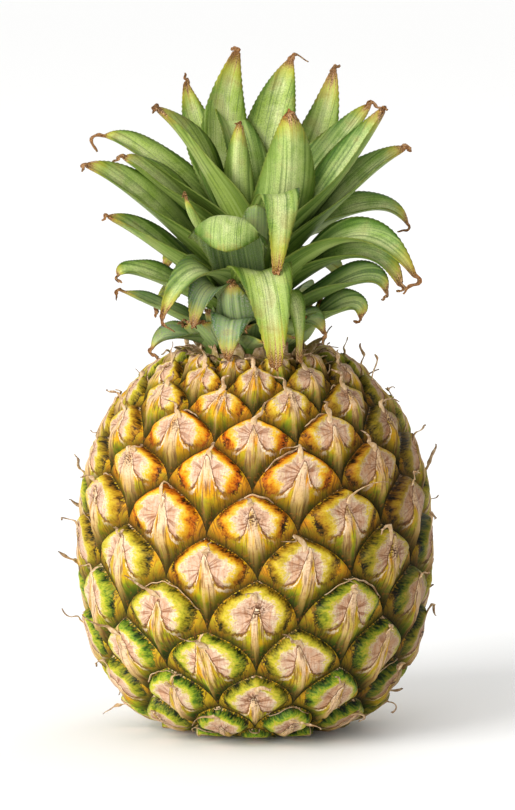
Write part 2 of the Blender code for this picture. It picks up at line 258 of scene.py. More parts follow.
def declare(piece: bpy.types.Object, slot: Slot, *nodes: str) -> None:
    """Ride a piece on the body and hide the CAD nodes that it stands for."""
    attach(piece, BODY)
    if nodes:
        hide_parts(*nodes)
    LOG.info("%s: %d faces", piece.name, len(piece.data.polygons))


@dataclass(frozen=True)
class RindFinish:
    """Ripe pineapple rind: waxy plant skin, grown, gold round each eye where ripe and green where not.

    The wax gives a soft satin sheen, the fibres fine streaks down each bract, and the dry parts and the
    dusty grooves are matt. Places are counted in half eyes, which are about 18 mm. Shade is painted into the
    colour too: near black grooves and skirt bottoms, a dark margin line under each shield that is partly
    painted shade, and browner shields and darker rims and skirts on the fruit's right side.
    """

    ripe_rim: tuple = ((0.0, "#2A1404"), (0.10, "#7C3405"), (0.21, "#BC5808"), (0.38, "#DA860E"),
                       (0.53, "#DFA61C"), (0.67, "#DFB848"), (0.79, "#E0CBA6"), (1.0, "#CFB097"))
    green_rim: tuple = ((0.0, "#101C07"), (0.10, "#2C4A0D"), (0.25, "#587A18"), (0.43, "#8EA226"),
                        (0.58, "#B8B632"), (0.70, "#CEC25C"), (0.80, "#DCCFAA"), (1.0, "#CFB197"))
    # The skirt and bract-middle ramps start near black at the bract's low end: painted shade where it sinks between
    # the eyes under it.
    ripe_skirt: tuple = ((0.0, "#141204"), (0.22, "#3A3A08"), (0.44, "#86780A"), (0.68, "#CC9A0E"),
                         (1.0, "#DC9010"))
    green_skirt: tuple = ((0.0, "#0A1204"), (0.22, "#223A08"), (0.44, "#56720C"), (0.68, "#949C14"),
                          (1.0, "#BA9C1A"))
    bract_middle: tuple = ((0.0, "#2A2A08"), (0.22, "#6A5A18"), (0.5, "#A68844"), (0.8, "#CCAA74"),
                           (1.0, "#DCBA92"))
    shield_stain: str = "#B98B69"
    shield_blush: str = "#C9966F"
    # painted shade: brown laid over the shields on the fruit's right side
    shaded_side_shield: str = "#A67838"
    vein: str = "#7E4A28"
    paper: str = "#EAD7B8"
    # painted shade: multiplied over the rims and skirts of the fruit's right side, half as much on the shields
    shade_side: str = "#76560E"
    withered: str = "#4A2A14"
    # a real crack and streak colour, also used as painted shade along each shield's lower margin
    crack_and_shade: str = "#5A3018"
    speck: str = "#92561F"
    # painted shade: near black in the groove along each eye's lower edges
    green_groove_shade: str = "#18260A"
    ripe_groove_shade: str = "#30260A"
    roughness: float = 0.5
    groove_roughness: float = 0.95
    sheen: float = 0.14
    rim_band: float = 0.205
    bump_mm: float = 0.3
    # Streaks are about 0.6 mm apart and strands 2 mm. The real fibres, 0.2 mm apart, are too fine to show.
    streaks: tuple = (30.0, 2.6, 9.0)
    strands: tuple = (9.0, 1.1, 9.0)
    clouds: float = 5.0
    flecks: float = 22.0
    veins_per_turn: float = 3.0
    vein_scale: float = 1.6
    vein_centre: float = 0.1
    heart_centre: tuple = (0.0, 0.22, 0.0)
    heart_shape: tuple = (1.0, 0.8, 0.0)
    patchiness: float = 0.9
    paper_drop: float = 0.075

    def build(self) -> bpy.types.Material:
        """Make the material from the fields that the rind's mesh carries.

        Returns:
            The finished material.
        """
        skin = Surface("ripe pineapple rind")
        fields = skin.mesh_fields("eye_edge", "eye_place", "eye_look")
        (_, (from_rim, from_foot, margin)), (place, (fan, rise, draw)), (_, (ripe, shade, spot)) = fields
        cloud = skin.grain(place, 5.0, self.clouds)
        streak = skin.grain(place, 3.0, stretch=self.streaks)
        fleck = skin.grain(place, 4.0, self.flecks)
        strand = skin.grain(place, 2.0, stretch=self.strands)
        shift = skin.mask(cloud, (0.3, 0.7), (-0.042, 0.042))
        flecked = skin.mask(fleck, (0.3, 0.7), (-0.034, 0.034))
        ripeness = add_node(skin.tree, "Math", {0: ripe, 1: shift}, operation="ADD").outputs[0]

        uneven = add_node(skin.tree, "Math", {0: shift, 1: flecked}, operation="ADD").outputs[0]
        shield = self.shield(skin, from_rim, uneven, ripeness)
        inner = skin.mask(from_rim, (0.11, 0.22), (0.0, 0.8))
        shield = skin.coated(shield, self.shield_stain, streak, (0.43, 0.66), thinned=[inner])
        shield = skin.coated(shield, self.shield_blush, cloud, (0.46, 0.64), (0.0, 0.7), [inner])
        # painted shade: browner shields where the fruit's right side is shaded
        shield = skin.coated(shield, self.shaded_side_shield, cloud, (0.35, 0.65), (0.5, 1.0), [shade, inner])
        shield = self.veined(skin, shield, fan, rise, draw, inner)
        bract = self.bract(skin, fan, rise, shift, ripeness, cloud, streak, strand)

        margin = add_node(skin.tree, "Math", {0: margin, 1: flecked}, operation="ADD").outputs[0]
        colour = skin.coated(shield, bract, margin, (0.01, -0.01))
        inside = skin.mask(from_rim, (0.05, 0.14))
        away = add_node(skin.tree, "Math", {0: margin}, operation="ABSOLUTE").outputs[0]
        # dark line along the shield's margin: partly a real crack line, partly painted shade under the shield's lobes
        colour = skin.coated(colour, self.crack_and_shade, away, (0.055, 0.01), (0.0, 0.85), [inside])
        beneath = add_node(skin.tree, "Math", {0: margin, 1: self.paper_drop}, operation="ADD").outputs[0]
        beneath = add_node(skin.tree, "Math", {0: beneath}, operation="ABSOLUTE").outputs[0]
        torn = skin.mask(cloud, (0.42, 0.56), (0.0, 0.85))
        colour = skin.coated(colour, self.paper, beneath, (0.04, 0.015), thinned=[torn, inside])

        # painted shade in the groove along each eye's lower edges, where it meets the eyes under it
        groove_shades = {0: ripeness, 6: srgb(self.green_groove_shade), 7: srgb(self.ripe_groove_shade)}
        dark = add_node(skin.tree, "Mix", groove_shades, data_type="RGBA").outputs[2]
        colour = skin.coated(colour, dark, from_foot, (0.23, 0.01), (0.0, 0.96))
        colour = skin.coated(colour, self.speck, fleck, (0.54, 0.68), (0.0, 0.42))
        colour = self.withered_heart(skin, colour, place, fleck, spot)
        # painted shade: darkens the fruit's right side, fully on rims and skirts and half on the shields' middles
        shaded = skin.mask(from_rim, (0.12, 0.26), (1.0, 0.5), [shade])
        colour = add_node(skin.tree, "Mix", {0: shaded, 6: colour, 7: srgb(self.shade_side)},
                          data_type="RGBA", blend_type="MULTIPLY").outputs[2]
        matt = skin.mask(from_foot, (0.02, 0.3), (self.groove_roughness, self.roughness))
        relief = add_node(skin.tree, "Math", {0: streak, 1: fleck}, operation="ADD").outputs[0]
        return skin.finished(colour, relief, self.bump_mm, 0.6,
                             Roughness=matt, Specular_IOR_Level=self.sheen)

    def shield(self, skin: Surface, from_rim: Socket, uneven: Socket, ripeness: Socket) -> Socket:
        """Colour a shield from its burnt rim to its pale middle, ripe or green.

        Args:
            skin: the material in the making.
            from_rim: distance from the shield's rim.
            uneven: shift of the bands.
            ripeness: 1 for a golden eye.

        Returns:
            The shield's colour.
        """
        band = add_node(skin.tree, "Math", {0: from_rim, 1: uneven}, operation="ADD").outputs[0]
        band = skin.mask(band, (0.0, self.rim_band))
        green, gold = (add_node(skin.tree, "ValToRGB", {0: band}, stops=stops).outputs[0]
                       for stops in (self.green_rim, self.ripe_rim))
        return add_node(skin.tree, "Mix", {0: ripeness, 6: green, 7: gold}, data_type="RGBA").outputs[2]

    def veined(self, skin: Surface, shield: Socket, fan: Socket, rise: Socket, draw: Socket,
               inner: Socket) -> Socket:
        """Draw brown wrinkles that run out from the middle of each shield.

        Args:
            skin: the material in the making.
            shield: the shield's colour.
            fan: place sideways.
            rise: place upward.
            draw: the eye's own random number.
            inner: mask of the shield's inner part.

        Returns:
            The shield's colour with its wrinkles.
        """
        centred = add_node(skin.tree, "Math", {0: rise, 1: self.vein_centre}, operation="SUBTRACT").outputs[0]
        turn = add_node(skin.tree, "Math", {0: centred, 1: fan}, operation="ARCTAN2").outputs[0]
        turn = add_node(skin.tree, "Math", {0: turn, 1: self.veins_per_turn}, operation="MULTIPLY").outputs[0]
        spoke = add_node(skin.tree, "CombineXYZ", {0: fan, 1: centred}).outputs[0]
        spoke = add_node(skin.tree, "VectorMath", {0: spoke}, operation="LENGTH").outputs["Value"]
        rays = add_node(skin.tree, "CombineXYZ", {0: turn, 1: spoke, 2: draw}).outputs[0]
        wrinkle = skin.grain(rays, 3.0, self.vein_scale, distortion=0.5)
        near = skin.mask(spoke, (0.7, 0.15))
        return skin.coated(shield, self.vein, wrinkle, (0.53, 0.59), thinned=[near, inner])

    def bract(self, skin: Surface, fan: Socket, rise: Socket, shift: Socket, ripeness: Socket,
              cloud: Socket, streak: Socket, strand: Socket) -> Socket:
        """Colour the bract under a shield: dry tan in its middle, gold or green at its sides, and dark below,
        which is painted shade where the bract sinks between the eyes under it.

        Args:
            skin: the material in the making.
            fan: place sideways.
            rise: place upward.
            shift: uneven shift of the bands.
            ripeness: 1 for a golden eye.
            cloud: cloudy noise.
            streak: fine streaks down the bract.
            strand: coarse streaks down the bract.

        Returns:
            The bract's colour.
        """
        # painted shade: the ramps' near black low end sits at the bottom of the bract
        low = skin.mask(rise, (-0.97, -0.15))
        low = add_node(skin.tree, "Math", {0: low, 1: shift}, operation="ADD").outputs[0]
        green, gold, middle = (add_node(skin.tree, "ValToRGB", {0: low}, stops=stops).outputs[0]
                               for stops in (self.green_skirt, self.ripe_skirt, self.bract_middle))
        patches = skin.mask(cloud, (0.35, 0.65), (-0.45, 0.45))
        patchy = add_node(skin.tree, "Math", {0: ripeness, 1: self.patchiness, 2: patches},
                          operation="MULTIPLY_ADD").outputs[0]
        side = add_node(skin.tree, "Mix", {0: patchy, 6: green, 7: gold}, data_type="RGBA").outputs[2]
        fanned = skin.mask(strand, (0.3, 0.7), (-0.17, 0.17))
        aside = add_node(skin.tree, "Math", {0: fan}, operation="ABSOLUTE").outputs[0]
        aside = add_node(skin.tree, "Math", {0: aside, 1: fanned}, operation="ADD").outputs[0]
        colour = skin.coated(middle, side, aside, (0.03, 0.15))
        return skin.coated(colour, self.crack_and_shade, streak, (0.50, 0.64), (0.0, 0.7))

    def withered_heart(self, skin: Surface, colour: Socket, place: Socket, fleck: Socket,
                       spot: Socket) -> Socket:
        """Darken the withered flower in the middle of some shields.

        Args:
            skin: the material in the making.
            colour: the rind's colour.
            place: place in the eye.
            fleck: fine noise.
            spot: how withered the eye is.

        Returns:
            The rind's colour with its spots.
        """
        heart = add_node(skin.tree, "VectorMath", {0: place, 1: self.heart_centre}, operation="SUBTRACT")
        heart = add_node(skin.tree, "VectorMath", {0: heart.outputs[0], 1: self.heart_shape},
                         operation="MULTIPLY")
        heart = add_node(skin.tree, "VectorMath", {0: heart.outputs[0]}, operation="LENGTH")
        flake = skin.mask(fleck, (0.44, 0.58))
        return skin.coated(colour, self.withered, heart.outputs["Value"], (0.26, 0.05), thinned=[flake, spot])


@dataclass(frozen=True)
class DryBractFinish:
    """Dried bract: papery dead plant tissue, twisted as it dried, matt, tan with brown edges."""

    colours: tuple = ((0.0, "#D2AE86"), (0.35, "#C09A6E"), (0.7, "#9C7850"), (1.0, "#74502E"))
    pale: str = "#E0C9A6"
    green: str = "#9A9438"
    roughness: float = 0.8
    mottle_mm: float = 1.2
    bump_mm: float = 0.2

    def build(self) -> bpy.types.Material:
        """Make the material: colour runs from root to tip, broken by pale mottling.

        Returns:
            The finished material.
        """
        paper = Surface("dried bract paper")
        [(_, (share, _, fresh))] = paper.mesh_fields("strip_place")
        body = add_node(paper.tree, "TexCoord").outputs["Object"]
        mottle = paper.grain(body, 3.0, 1.0 / (self.mottle_mm * MM))
        colour = add_node(paper.tree, "ValToRGB", {0: share}, stops=self.colours).outputs[0]
        colour = paper.coated(colour, self.green, share, (0.75, 0.35), thinned=[fresh])
        colour = paper.coated(colour, self.pale, mottle, (0.45, 0.7), (0.0, 0.7))
        return paper.finished(colour, mottle, self.bump_mm, 0.5, Roughness=self.roughness)


@dataclass(frozen=True)
class LeafFinish:
    """Crown leaf: tough fibrous leaf with a dusty wax bloom, green, yellow near its dried brown tip.

    The fibres give fine lines along the blade, and the bloom a pale matt veil on its middle, partly a
    painted highlight. Painted shade darkens the root, in part the edges, the middle crease and one half,
    and painted light partly lifts the under face.
    """

    green: str = "#648E22"
    dark: str = "#1D450F"
    lime: str = "#98B22C"
    bloom_and_highlight: str = "#E0E6A6"
    blue: str = "#4C7852"
    mauve: str = "#9A8F98"
    yellow: str = "#BAAA1E"
    edge: str = "#7C7A30"
    beneath: str = "#9CAE58"
    rust: str = "#8C7434"
    brown: str = "#935E28"
    straw: str = "#D8B88A"
    char: str = "#472912"
    rib: str = "#A6B868"
    roughness: float = 0.55
    sheen: float = 0.18
    bump_mm: float = 0.15
    # The fibres of a real leaf. Its ribs, 0.6 mm apart, are drawn at 1 mm, or they wouldn't show.
    fibre_mm: float = 0.45
    rib_mm: float = 1.0
    cloud_mm: float = 6.25
    dust_mm: float = 1.0 / 2.4

    def build(self) -> bpy.types.Material:
        """Make the material from the fields that each blade carries.

        Returns:
            The finished material.
        """
        leaf = Surface("fresh crown leaf")
        fields = leaf.mesh_fields("blade_place", "blade_mm", "blade_tone")
        (_, (along, across, _)), (size, _), (_, (blue, lime, face)) = fields
        fibre = leaf.grain(size, 2.0, stretch=(1.0 / self.fibre_mm, 0.03, 1.0))
        cloud = leaf.grain(size, 4.0, 1.0 / self.cloud_mm, distortion=0.4)
        dust = leaf.grain(size, 3.0, 1.0 / self.dust_mm)
        rib = leaf.grain(size, 1.5, stretch=(1.0 / self.rib_mm, 0.02, 1.0))
        aside = add_node(leaf.tree, "Math", {0: across}, operation="ABSOLUTE").outputs[0]

        colour = srgb(self.green)
        for share, over in ((lime, self.lime), (blue, self.blue)):
            colour = add_node(leaf.tree, "Mix", {0: share, 6: colour, 7: srgb(over)}, data_type="RGBA").outputs[2]
        faced = leaf.mask(face, (0.0, 1.0), (0.35, 1.0))
        # painted shade near the root, where the leaves overlap; weaker on the under face
        colour = leaf.coated(colour, self.dark, along, (0.46, 0.10), (0.0, 0.9), [faced])
        # darker towards the edges: partly the leaf's own deeper green, partly painted shade
        colour = leaf.coated(colour, self.dark, aside, (0.5, 1.0), (0.0, 0.74))
        veil = [leaf.mask(along, (0.15, 0.5)), leaf.mask(cloud, (0.34, 0.58), (0.4, 1.0)),
                leaf.mask(fibre, (0.35, 0.60), (0.55, 1.0)), leaf.mask(blue, (0.0, 1.0), (1.0, 0.5))]
        # pale veil on the middle of the blade: partly the real wax bloom, partly a painted highlight
        colour = leaf.coated(colour, self.bloom_and_highlight, aside, (0.95, 0.15), thinned=veil)
        for over, source, span, strength in (
                (self.dark, fibre, (0.53, 0.68), 0.5),      # stripes
                (self.dark, dust, (0.46, 0.60), 0.36),      # stipple
                # painted shade in the crease along the middle
                (self.dark, aside, (0.09, 0.0), 0.24),      # crease along the middle
                (self.dark, across, (-0.06, 0.10), 0.16)):  # half that turns from the light
            colour = leaf.coated(colour, over, source, span, (0.0, strength))
        colour = leaf.coated(colour, self.mauve, dust, (0.48, 0.62), (0.0, 0.75), [blue])
        for over, source, span, strength in (
                # paler under face: partly the real paler underside, partly painted light that lifts its shade
                (self.beneath, face, (1.0, 0.0), 0.26),
                (self.rib, rib, (0.47, 0.33), 0.4),
                (self.dark, rib, (0.53, 0.67), 0.5)):
            colour = leaf.coated(colour, over, source, span, (0.0, strength))

        waver = leaf.mask(fibre, (0.3, 0.7), (-0.05, 0.05))
        wavy = add_node(leaf.tree, "Math", {0: along, 1: waver}, operation="ADD").outputs[0]
        colour = leaf.coated(colour, self.yellow, wavy, (0.82, 0.97), (0.0, 0.7))
        upper = leaf.mask(wavy, (0.45, 0.95))
        colour = leaf.coated(colour, self.rust, cloud, (0.52, 0.66), (0.0, 0.5), [upper])
        colour = leaf.coated(colour, self.edge, aside, (0.93, 0.99), (0.0, 0.3))
        dead = leaf.mask(wavy, (0.93, 0.985))
        colour = add_node(leaf.tree, "Mix", {0: dead, 6: colour, 7: srgb(self.brown)},
                          data_type="RGBA").outputs[2]
        colour = leaf.coated(colour, self.straw, fibre, (0.48, 0.6), (0.0, 0.7), [dead])
        colour = leaf.coated(colour, self.char, dust, (0.44, 0.56), thinned=[dead])
        return leaf.finished(colour, fibre, self.bump_mm, 0.5, Roughness=self.roughness,
                             Specular_IOR_Level=self.sheen)


@dataclass(frozen=True)
class StalkFinish:
    """Cut stalk: woody, fibrous, sawn across, dry and matt, pale in the middle and brown at the edge."""

    pale: str = "#D8C79C"
    tan: str = "#B99C68"
    brown: str = "#7B5F38"
    roughness: float = 0.85
    fibre_mm: float = 0.7
    cloud_mm: float = 6.25
    bump_mm: float = 0.3

    def build(self) -> bpy.types.Material:
        """Make the material: fibre ends as small dots on a mottled ground.

        Returns:
            The finished material.
        """
        wood = Surface("sawn pineapple stalk")
        body = add_node(wood.tree, "TexCoord").outputs["Object"]
        spots = {"Vector": body, "Scale": 1.0 / (self.fibre_mm * MM)}
        ends = add_node(wood.tree, "TexVoronoi", spots).outputs["Distance"]
        cloud = wood.grain(body, 4.0, 1.0 / (self.cloud_mm * MM))
        colour = add_node(wood.tree, "Mix", {0: cloud, 6: srgb(self.pale), 7: srgb(self.tan)},
                          data_type="RGBA").outputs[2]
        colour = wood.coated(colour, self.brown, ends, (0.35, 0.1), (0.0, 0.7))
        return wood.finished(colour, ends, self.bump_mm, 0.6, Roughness=self.roughness)


@dataclass
class FruitForm:
    """The fruit's turned outline and its lattice of eyes, as in the part's source."""

    height: float = 141.0 * MM
    belly_radius: float = 62.3 * MM
    belly_height: float = 72.0 * MM
    upper_reach: float = 72.0 * MM
    upper_power: float = 2.2
    lower_reach: float = 73.5 * MM
    lower_power: float = 2.6
    eyes: int = 11
    whorls: int = 13
    first_reach: float = 6.8 * MM
    step_base: float = 6.0 * MM
    step_per_radius: float = 0.17
    step_fall: float = 0.2
    arch: float = 0.12
    bottom_fade: float = 24.0 * MM
    top_fade: float = 8.0 * MM
    samples: int = 4000
    radii: np.ndarray = field(init=False)
    heights: np.ndarray = field(init=False)
    lengths: np.ndarray = field(init=False)
    whorl_lengths: np.ndarray = field(init=False)

    def __post_init__(self) -> None:
        """Walk the outline once and place the whorls on it."""
        self.heights = np.linspace(0.0, self.height, self.samples)
        upper = self.heights >= self.belly_height
        reach = np.where(upper, self.upper_reach, self.lower_reach)
        power = np.where(upper, self.upper_power, self.lower_power)
        share = np.clip(np.abs(self.heights - self.belly_height) / reach, 0.0, 1.0)
        self.radii = self.belly_radius * (1.0 - share ** power) ** (1.0 / power)
        steps = np.hypot(np.diff(self.radii), np.diff(self.heights))
        self.lengths = np.concatenate([[0.0], np.cumsum(steps)])
        places = [self.first_reach]
        while len(places) < self.whorls:
            radius = np.interp(places[-1], self.lengths, self.radii)
            height = np.interp(places[-1], self.lengths, self.heights)
            fall = 1.0 + self.step_fall * (self.belly_height - height) / self.belly_height
            places.append(places[-1] + (self.step_base + self.step_per_radius * radius) * fall)
        self.whorl_lengths = np.array(places)

    @property
    def total(self) -> float:
        """Length of the outline from the ground to the top."""
        return float(self.lengths[-1])

    def length_of(self, whorl: np.ndarray) -> np.ndarray:
        """Length along the outline of whorl numbers, which may be fractions."""
        index = np.clip(np.floor(whorl).astype(int), 0, self.whorls - 2)
        low = self.whorl_lengths[index]
        return low + (self.whorl_lengths[index + 1] - low) * (whorl - index)

    def fade(self, length: np.ndarray) -> np.ndarray:
        """Share of the relief that is left near the flat ends."""
        return smooth_step(length / self.bottom_fade) * smooth_step((self.total - length) / self.top_fade)

    def surface(self, azimuth: np.ndarray, length: np.ndarray, raised: np.ndarray) -> np.ndarray:
        """Points over the outline.

        Args:
            azimuth: angles round the fruit, in radians.
            length: lengths along the outline.
            raised: heights along the surface normal.

        Returns:
            One position for each entry.
        """
        length = np.clip(length, 0.0, self.total)
        step = self.total / self.samples
        before = np.clip(length - step, 0.0, self.total)
        after = np.clip(length + step, 0.0, self.total)
        run = np.interp(after, self.lengths, self.radii) - np.interp(before, self.lengths, self.radii)
        rise = np.interp(after, self.lengths, self.heights) - np.interp(before, self.lengths, self.heights)
        size = np.hypot(run, rise)
        radius = np.interp(length, self.lengths, self.radii) + raised * rise / size
        height = np.interp(length, self.lengths, self.heights) - raised * run / size
        return np.stack([radius * np.sin(azimuth), -radius * np.cos(azimuth), height], axis=-1)


@dataclass
class Rind:
    """The fruit's skin: one patch for each eye, sewn to its neighbours, with relief and look fields."""

    form: FruitForm
    cuts: int = 24
    edge_pull: float = 0.55
    seed: int = 7
    point: float = 0.35
    dome_half: float = 0.71
    dome_spread: float = 0.2
    dome_level: float = 0.02
    dome_depth: float = 0.74
    dome_round: float = 0.025
    rim_closing: float = 0.5
    margin_level: float = -0.27
    bract_share: float = 0.52
    blend_height: float = 0.3 * MM
    arch_spread: float = 0.5
    corner_shift: float = 0.13
    rim_height: float = 3.9 * MM
    rim_steepness: float = 0.05
    crest_height: float = 0.55 * MM
    skirt_reach: float = 0.40
    dish_depth: float = 0.14
    lip_height: float = 0.45 * MM
    rib_height: float = 0.5 * MM
    pleat_height: float = 0.42 * MM
    pleat_spacing: float = 0.13
    fan_share: float = 1.1
    lump_height: float = 0.22 * MM
    ripe_height: float = 101.0 * MM
    ripe_span: float = 45.0 * MM
    ripe_middle: float = math.radians(-12.0)
    ripe_turn: float = math.radians(64.0)
    # painted shade: the fruit's right side, round this azimuth and span, is darkened by up to this share
    shade_turn: float = math.radians(72.0)
    shade_span: float = math.radians(38.0)
    shade_share: float = 0.74

    def eye_centres(self) -> tuple[np.ndarray, np.ndarray]:
        """Columns and whorls of all the eyes, with one spare whorl past each end."""
        whorls = range(-1, self.form.whorls + 1)
        pairs = [(2 * eye + whorl % 2, whorl) for whorl in whorls for eye in range(self.form.eyes)]
        columns, rows = zip(*pairs)
        return np.array(columns), np.array(rows)

    def draws(self, columns: np.ndarray, whorls: np.ndarray) -> np.ndarray:
        """Random numbers of the eyes at these columns and whorls, ten for each."""
        table = np.random.default_rng(self.seed).random((self.form.whorls + 6, 2 * self.form.eyes, 10))
        return table[whorls + 4, columns % (2 * self.form.eyes)]

    def warp(self, a: np.ndarray, b: np.ndarray, columns: np.ndarray, whorls: np.ndarray,
             fade: np.ndarray) -> tuple[np.ndarray, np.ndarray]:
        """Arch the edges of the eyes and shift their corners, the same way on both sides of an edge.

        Args:
            a: places across the eye towards its upper right edge, from -0.5 to 0.5.
            b: places towards its upper left edge.
            columns: columns of the eyes.
            whorls: whorls of the eyes.
            fade: share of the relief at each place.

        Returns:
            The moved places.
        """
        low_a, low_b = (self.draws(columns + turn, whorls - 1)[:, 8, None, None] for turn in (-1, 1))
        high = self.draws(columns, whorls)[:, 8, None, None]

        def bow(value: np.ndarray) -> np.ndarray:
            return (1.0 - (2.0 * value) ** 2) * (1.0 - self.point * 2.0 * value)

        def size(low: np.ndarray, place: np.ndarray) -> np.ndarray:
            mixed = low * (0.5 - place) + high * (0.5 + place)
            return self.form.arch * (1.0 + self.arch_spread * (mixed - 0.5)) * fade

        moved_a = a + size(low_a, a) * bow(b)
        moved_b = b + size(low_b, b) * bow(a)
        for side_a, side_b, turn, step in ((1, 1, 0, 0), (1, -1, 1, 1), (-1, 1, -1, 1), (-1, -1, 0, 2)):
            corner = self.draws(columns + turn, whorls - step)
            weight = (0.5 + side_a * a) * (0.5 + side_b * b) * fade * self.corner_shift
            moved_a = moved_a + weight * (corner[:, 9, None, None] - 0.5)
            moved_b = moved_b + weight * (corner[:, 7, None, None] - 0.5)
        return moved_a, moved_b

    def spread(self, a: np.ndarray, b: np.ndarray, columns: np.ndarray,
               whorls: np.ndarray) -> tuple[np.ndarray, np.ndarray, np.ndarray]:
        """Azimuths, lengths along the outline and shares of relief of places in eyes."""
        fade = self.form.fade(self.form.length_of(whorls[:, None, None] + a + b))
        a, b = self.warp(a, b, columns, whorls, fade)
        azimuth = (columns[:, None, None] + a - b) * math.pi / self.form.eyes
        return azimuth, self.form.length_of(whorls[:, None, None] + a + b), fade

    def trace(self, column: int, whorl: int, x: np.ndarray, y: np.ndarray, raised: np.ndarray) -> np.ndarray:
        """Points over one eye.

        Args:
            column: the eye's column.
            whorl: its whorl.
            x: places sideways, -1 and 1 at the eye's side corners.
            y: places upward, -1 and 1 at its bottom and top corners.
            raised: heights over the fruit's outline.

        Returns:
            One position for each place.
        """
        a = ((y + x) / 2.0)[None, :, None]
        b = ((y - x) / 2.0)[None, :, None]
        azimuth, length, _ = self.spread(a, b, np.array([column]), np.array([whorl]))
        return self.form.surface(azimuth[0, :, 0], length[0, :, 0], raised)

    def ripeness(self, azimuth: np.ndarray, length: np.ndarray, draw: np.ndarray) -> np.ndarray:
        """How ripe each eye is: golden in the middle of the front, green at the sides and the ends."""
        height = np.interp(length, self.form.lengths, self.form.heights)
        turn = np.angle(np.exp(1j * (azimuth - self.ripe_middle)))
        front = np.exp(-(turn / self.ripe_turn) ** 2)
        back = 0.6 * np.exp(-((np.abs(turn) - math.pi) / self.ripe_turn) ** 2)
        level = np.exp(-((height - self.ripe_height) / self.ripe_span) ** 2)
        return np.clip(0.05 + 1.05 * (front + back) * level + 0.32 * (draw - 0.5), 0.0, 1.0)

    def build(self, material: bpy.types.Material) -> bpy.types.Object:
        """Build the skin.

        Args:
            material: the rind's finish.

        Returns:
            The skin's object.
        """
        form, n = self.form, self.cuts
        columns, whorls = self.eye_centres()
        draws = self.draws(columns, whorls)
        even = np.linspace(-1.0, 1.0, n + 1)
        side = 0.5 * ((1.0 - self.edge_pull) * even + self.edge_pull * np.sin(even * math.pi / 2.0))
        a, b = np.meshgrid(side, side, indexing="ij")
        a = np.broadcast_to(a, (len(columns), n + 1, n + 1))
        b = np.broadcast_to(b, a.shape)
        column = columns[:, None, None]
        whorl = whorls[:, None, None]
        draw = draws[:, :, None, None]
        x, y = a - b, a + b
        azimuth, length, fade = self.spread(a, b, columns, whorls)
        from_edge = 0.5 - np.maximum(a, b)
        from_foot = 0.5 + np.minimum(a, b)
        lean = (draw[:, 0] - 0.5) * 0.24
        half = self.dome_half * (1.0 + self.dome_spread * (draw[:, 6] - 0.5))
        below = (self.dome_level - np.minimum(y, self.dome_level)) / self.dome_depth
        from_side = 0.5 * half * (1.0 - np.hypot((x - 0.3 * lean) / half, below))
        from_rim = -self.dome_round * np.logaddexp(-from_edge / self.dome_round, -from_side / self.dome_round)
        open_side = 0.5 * half * (1.0 - np.hypot((x - 0.3 * lean) / half, self.rim_closing * below))
        from_band = -self.dome_round * np.logaddexp(-from_edge / self.dome_round, -open_side / self.dome_round)
        across = x + lean * (y + 0.3) * (1.0 - np.abs(x))
        fan = across / (1.0 + self.fan_share * smooth_step(-y))
        ridge_width = 0.10 + 0.05 * draw[:, 1]
        peak = 0.75 + 0.6 * draw[:, 2]
        margin_line = (self.margin_level - 0.08 * draw[:, 3]) * (1.0 - x ** 2)
        margin_line = margin_line + peak * np.exp(-(np.abs(across) / ridge_width) ** 1.2)
        margin = np.minimum(y - margin_line, 1.2 * from_rim)
        bract = 1.0 / (1.0 + np.exp(np.clip(margin / 0.02, -30.0, 30.0)))

        rim = 1.0 - np.exp(-np.maximum(from_rim, 0.0) / self.rim_steepness)
        skirt = smooth_step(from_foot / self.skirt_reach)
        dish = 1.0 - self.dish_depth * smooth_step((from_rim - 0.09) / 0.4)
        window = (1.0 - np.exp(-from_edge / 0.02)) * smooth_step(from_foot / 0.12)
        crest = self.crest_height * np.exp(-((from_rim - 0.10) / 0.05) ** 2) * window
        dome = self.rim_height * rim * skirt * dish + crest
        low = self.bract_share + (0.9 - self.bract_share) * np.exp(-(x / 0.42) ** 2)
        low = self.rim_height * low * skirt * (1.0 - np.exp(-from_edge / 0.04))
        raised = self.blend_height * np.logaddexp(dome / self.blend_height, low / self.blend_height)
        raised = raised - self.blend_height * math.log(2.0) * np.exp(-np.abs(dome - low) / self.blend_height)
        raised = raised * window
        raised = raised + self.lip_height * bract * window
        raised = raised + self.rib_height * np.exp(-(fan / 0.09) ** 2) * bract * window
        pleats = np.cos(2.0 * math.pi * (fan / self.pleat_spacing + draw[:, 4]))
        raised = raised + (self.pleat_height * pleats * np.exp(-(x / 0.42) ** 2) * bract
                           * smooth_step((-0.25 - y) / 0.3) * window)
        turn = 2.0 * math.pi * draw[:, 5]
        lumps = (np.sin(9.0 * x + turn) * np.sin(8.0 * y - turn)
                 + 0.6 * np.sin(19.0 * x - turn) * np.sin(16.0 * y + turn))
        raised = (raised + self.lump_height * lumps * window) * fade

        base_a = ((whorl + column) // 2 * n + np.arange(n + 1)[None, :, None]).astype(np.int64)
        base_b = ((whorl - column) // 2 * n + np.arange(n + 1)[None, None, :]).astype(np.int64)
        laps = (base_a - base_b) // (2 * form.eyes * n)
        key = (base_a - laps * form.eyes * n) * 100003 + (base_b + laps * form.eyes * n)
        _, first, inverse = np.unique(key.ravel(), return_index=True, return_inverse=True)
        points = form.surface(azimuth, length, raised).reshape(-1, 3)[first]
        number = inverse.reshape(key.shape)
        faces = np.stack([number[:, :-1, :-1], number[:, 1:, :-1], number[:, 1:, 1:], number[:, :-1, 1:]], axis=-1)

        def corners(values: np.ndarray) -> np.ndarray:
            values = np.broadcast_to(values, a.shape)
            return np.stack([values[:, :-1, :-1], values[:, 1:, :-1], values[:, 1:, 1:], values[:, :-1, 1:]], axis=-1)

